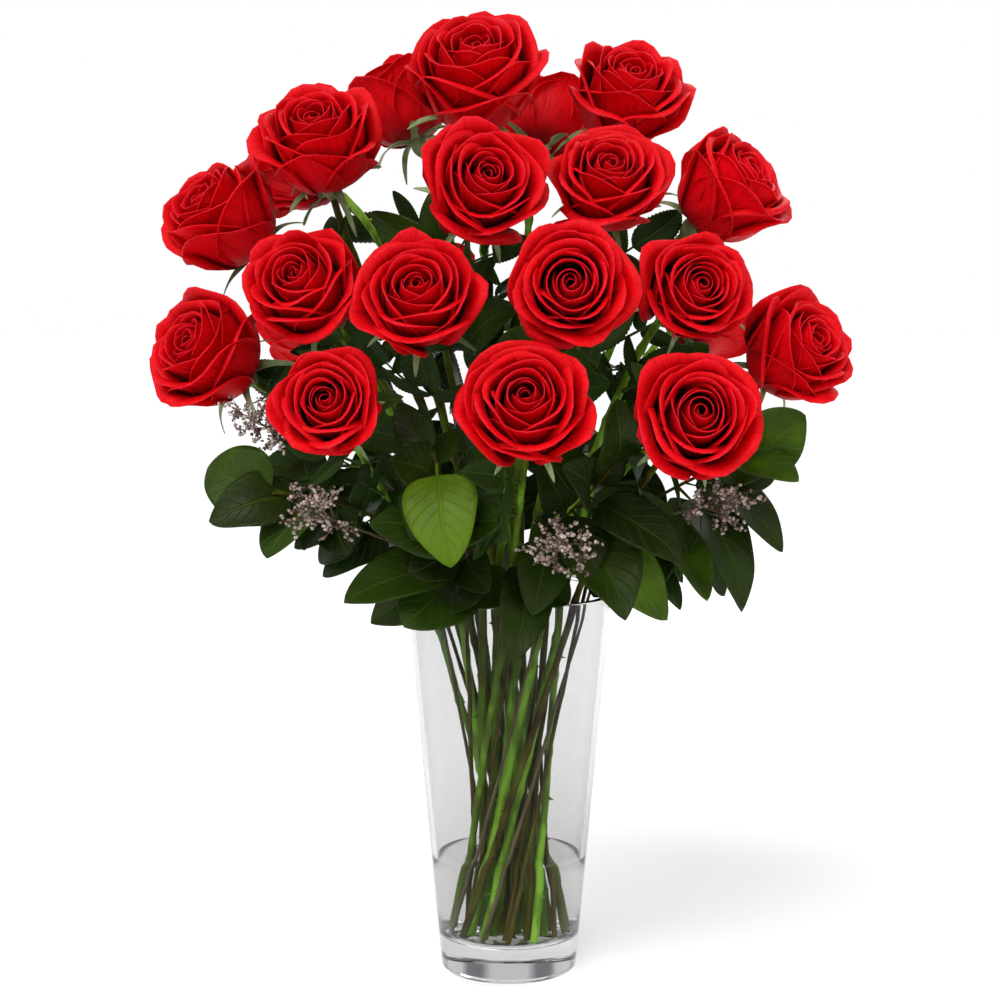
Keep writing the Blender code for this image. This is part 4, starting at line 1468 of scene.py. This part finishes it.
water_wall = vase_outer_radius(WATER_TOP) - WALL + INTO_GLASS
water_outline = split_long(soft_outline([
    (0.0, BASE_THICKNESS - 0.0007, 0.0),
    (inner_floor + INTO_GLASS, BASE_THICKNESS - INTO_GLASS, 0.0060),
    (water_wall, WATER_TOP, 0.0),
    (0.0, WATER_TOP, 0.0),
]), LONGEST_RUN)
water_mesh = turned_mesh("water", water_outline, TURNED_SIDES)
water_mesh.materials.append(clear_water)
water = bpy.data.objects.new("water_looks", water_mesh)
scene.collection.objects.link(water)
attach(water, "root")
print(len(vase_mesh.polygons), "faces on the vase,", len(water_mesh.polygons), "on the water")

# %% [markdown]
# ## Floor, light and camera
#
# The setting is a white studio: a pale floor, a bright tent all round, a broad sun and two soft lamps. Clear
# glass in an even white room has nothing to reflect and almost vanishes, so the tent has soft grey strips between
# its bright panels, spaced evenly round the object. The glass and petals are lit by them, but seen straight
# from the camera the tent is plain white.

# %%
# Studio floor and tent


def make_floor_material():
    material, tree, shader = new_material("studio_floor")
    patch = noise(tree, place_of(tree), 3.0)
    set_shader(
        tree, shader,
        Base_Color=ramp(tree, patch, [(0.2, (0.90, 0.90, 0.90)), (0.8, (0.94, 0.94, 0.94))]),
        Roughness=between(tree, patch, 0.75, 0.9),
        Normal=bump(tree, noise(tree, place_of(tree), 160.0), 0.0004, 0.2),
    )
    return material


FLOOR_RADIUS = 9.0
bpy.ops.mesh.primitive_circle_add(
    vertices=96, radius=FLOOR_RADIUS, fill_type="NGON", location=(0.0, 0.0, -0.0002)
)
floor = bpy.context.object
floor.name = "studio_floor"
floor.data.materials.append(make_floor_material())

PANELS = 8
tent = bpy.data.worlds.new("studio_tent")
scene.world = tent
tent.use_nodes = True
tree = tent.node_tree
sky = tree.nodes.new("ShaderNodeTexCoord").outputs["Generated"]
direction = add_node(tree, "ShaderNodeSeparateXYZ", {"Vector": sky})
azimuth = maths(tree, "ARCTAN2", direction.outputs["Y"], direction.outputs["X"])
wave = maths(tree, "COSINE", maths(tree, "MULTIPLY", azimuth, float(PANELS)))
low = between(tree, maths(tree, "ABSOLUTE", direction.outputs["Z"]), 1.0, 0.0, 0.35, 0.8)
strip = maths(tree, "MULTIPLY", between(tree, wave, 1.0, 0.0, -0.75, 0.1), low)
light = mix_colours(tree, strip, (0.66, 0.66, 0.66), (0.20, 0.198, 0.22))
plain = add_node(tree, "ShaderNodeLightPath").outputs["Is Camera Ray"]
tree.links.new(mix_colours(tree, plain, light, (1.0, 1.0, 1.0)), tree.nodes["Background"].inputs["Color"])
print("the tent has", PANELS, "panels")

# %%
# Lamps and camera
SUN_STRENGTH = 2.6
SUN_WIDTH = 50.0  # degrees across
SUN_WAY = (0.45, 0.75, -0.95)
LAMP_AIM = (0.0, 0.0, 0.35)
CAMERA_PLACE = (-0.0054, -1.35, 0.44)
CAMERA_LENS, CAMERA_SENSOR = 82.2, 36.0  # mm
CAMERA_PITCH = 6.7  # degrees downward
CAMERA_SHIFT = 0.0055


def soft_lamp(name, place, size, power):
    lamp = bpy.data.lights.new(name, "AREA")
    lamp.size = size
    lamp.energy = power
    holder = bpy.data.objects.new(name, lamp)
    scene.collection.objects.link(holder)
    holder.location = place
    holder.rotation_euler = (Vector(LAMP_AIM) - Vector(place)).to_track_quat("-Z", "Y").to_euler()


sun = bpy.data.lights.new("broad_key", "SUN")
sun.energy = SUN_STRENGTH
sun.angle = math.radians(SUN_WIDTH)
sun_holder = bpy.data.objects.new("broad_key", sun)
scene.collection.objects.link(sun_holder)
sun_holder.rotation_euler = Vector(SUN_WAY).to_track_quat("-Z", "Y").to_euler()
soft_lamp("side_lamp", (1.3, -0.9, 0.8), 0.8, 5.0)
soft_lamp("back_lamp", (0.6, 1.4, 1.4), 0.9, 10.0)

camera_data = bpy.data.cameras.new("camera")
camera_data.sensor_width = CAMERA_SENSOR
camera_data.lens = CAMERA_LENS
camera_data.shift_y = CAMERA_SHIFT
camera = bpy.data.objects.new("camera", camera_data)
scene.collection.objects.link(camera)
camera.location = CAMERA_PLACE
camera.rotation_euler = (math.radians(90.0 - CAMERA_PITCH), 0.0, 0.0)
scene.camera = camera
scene.view_settings.view_transform = "Standard"
print("camera at", tuple(round(v, 3) for v in camera.location))
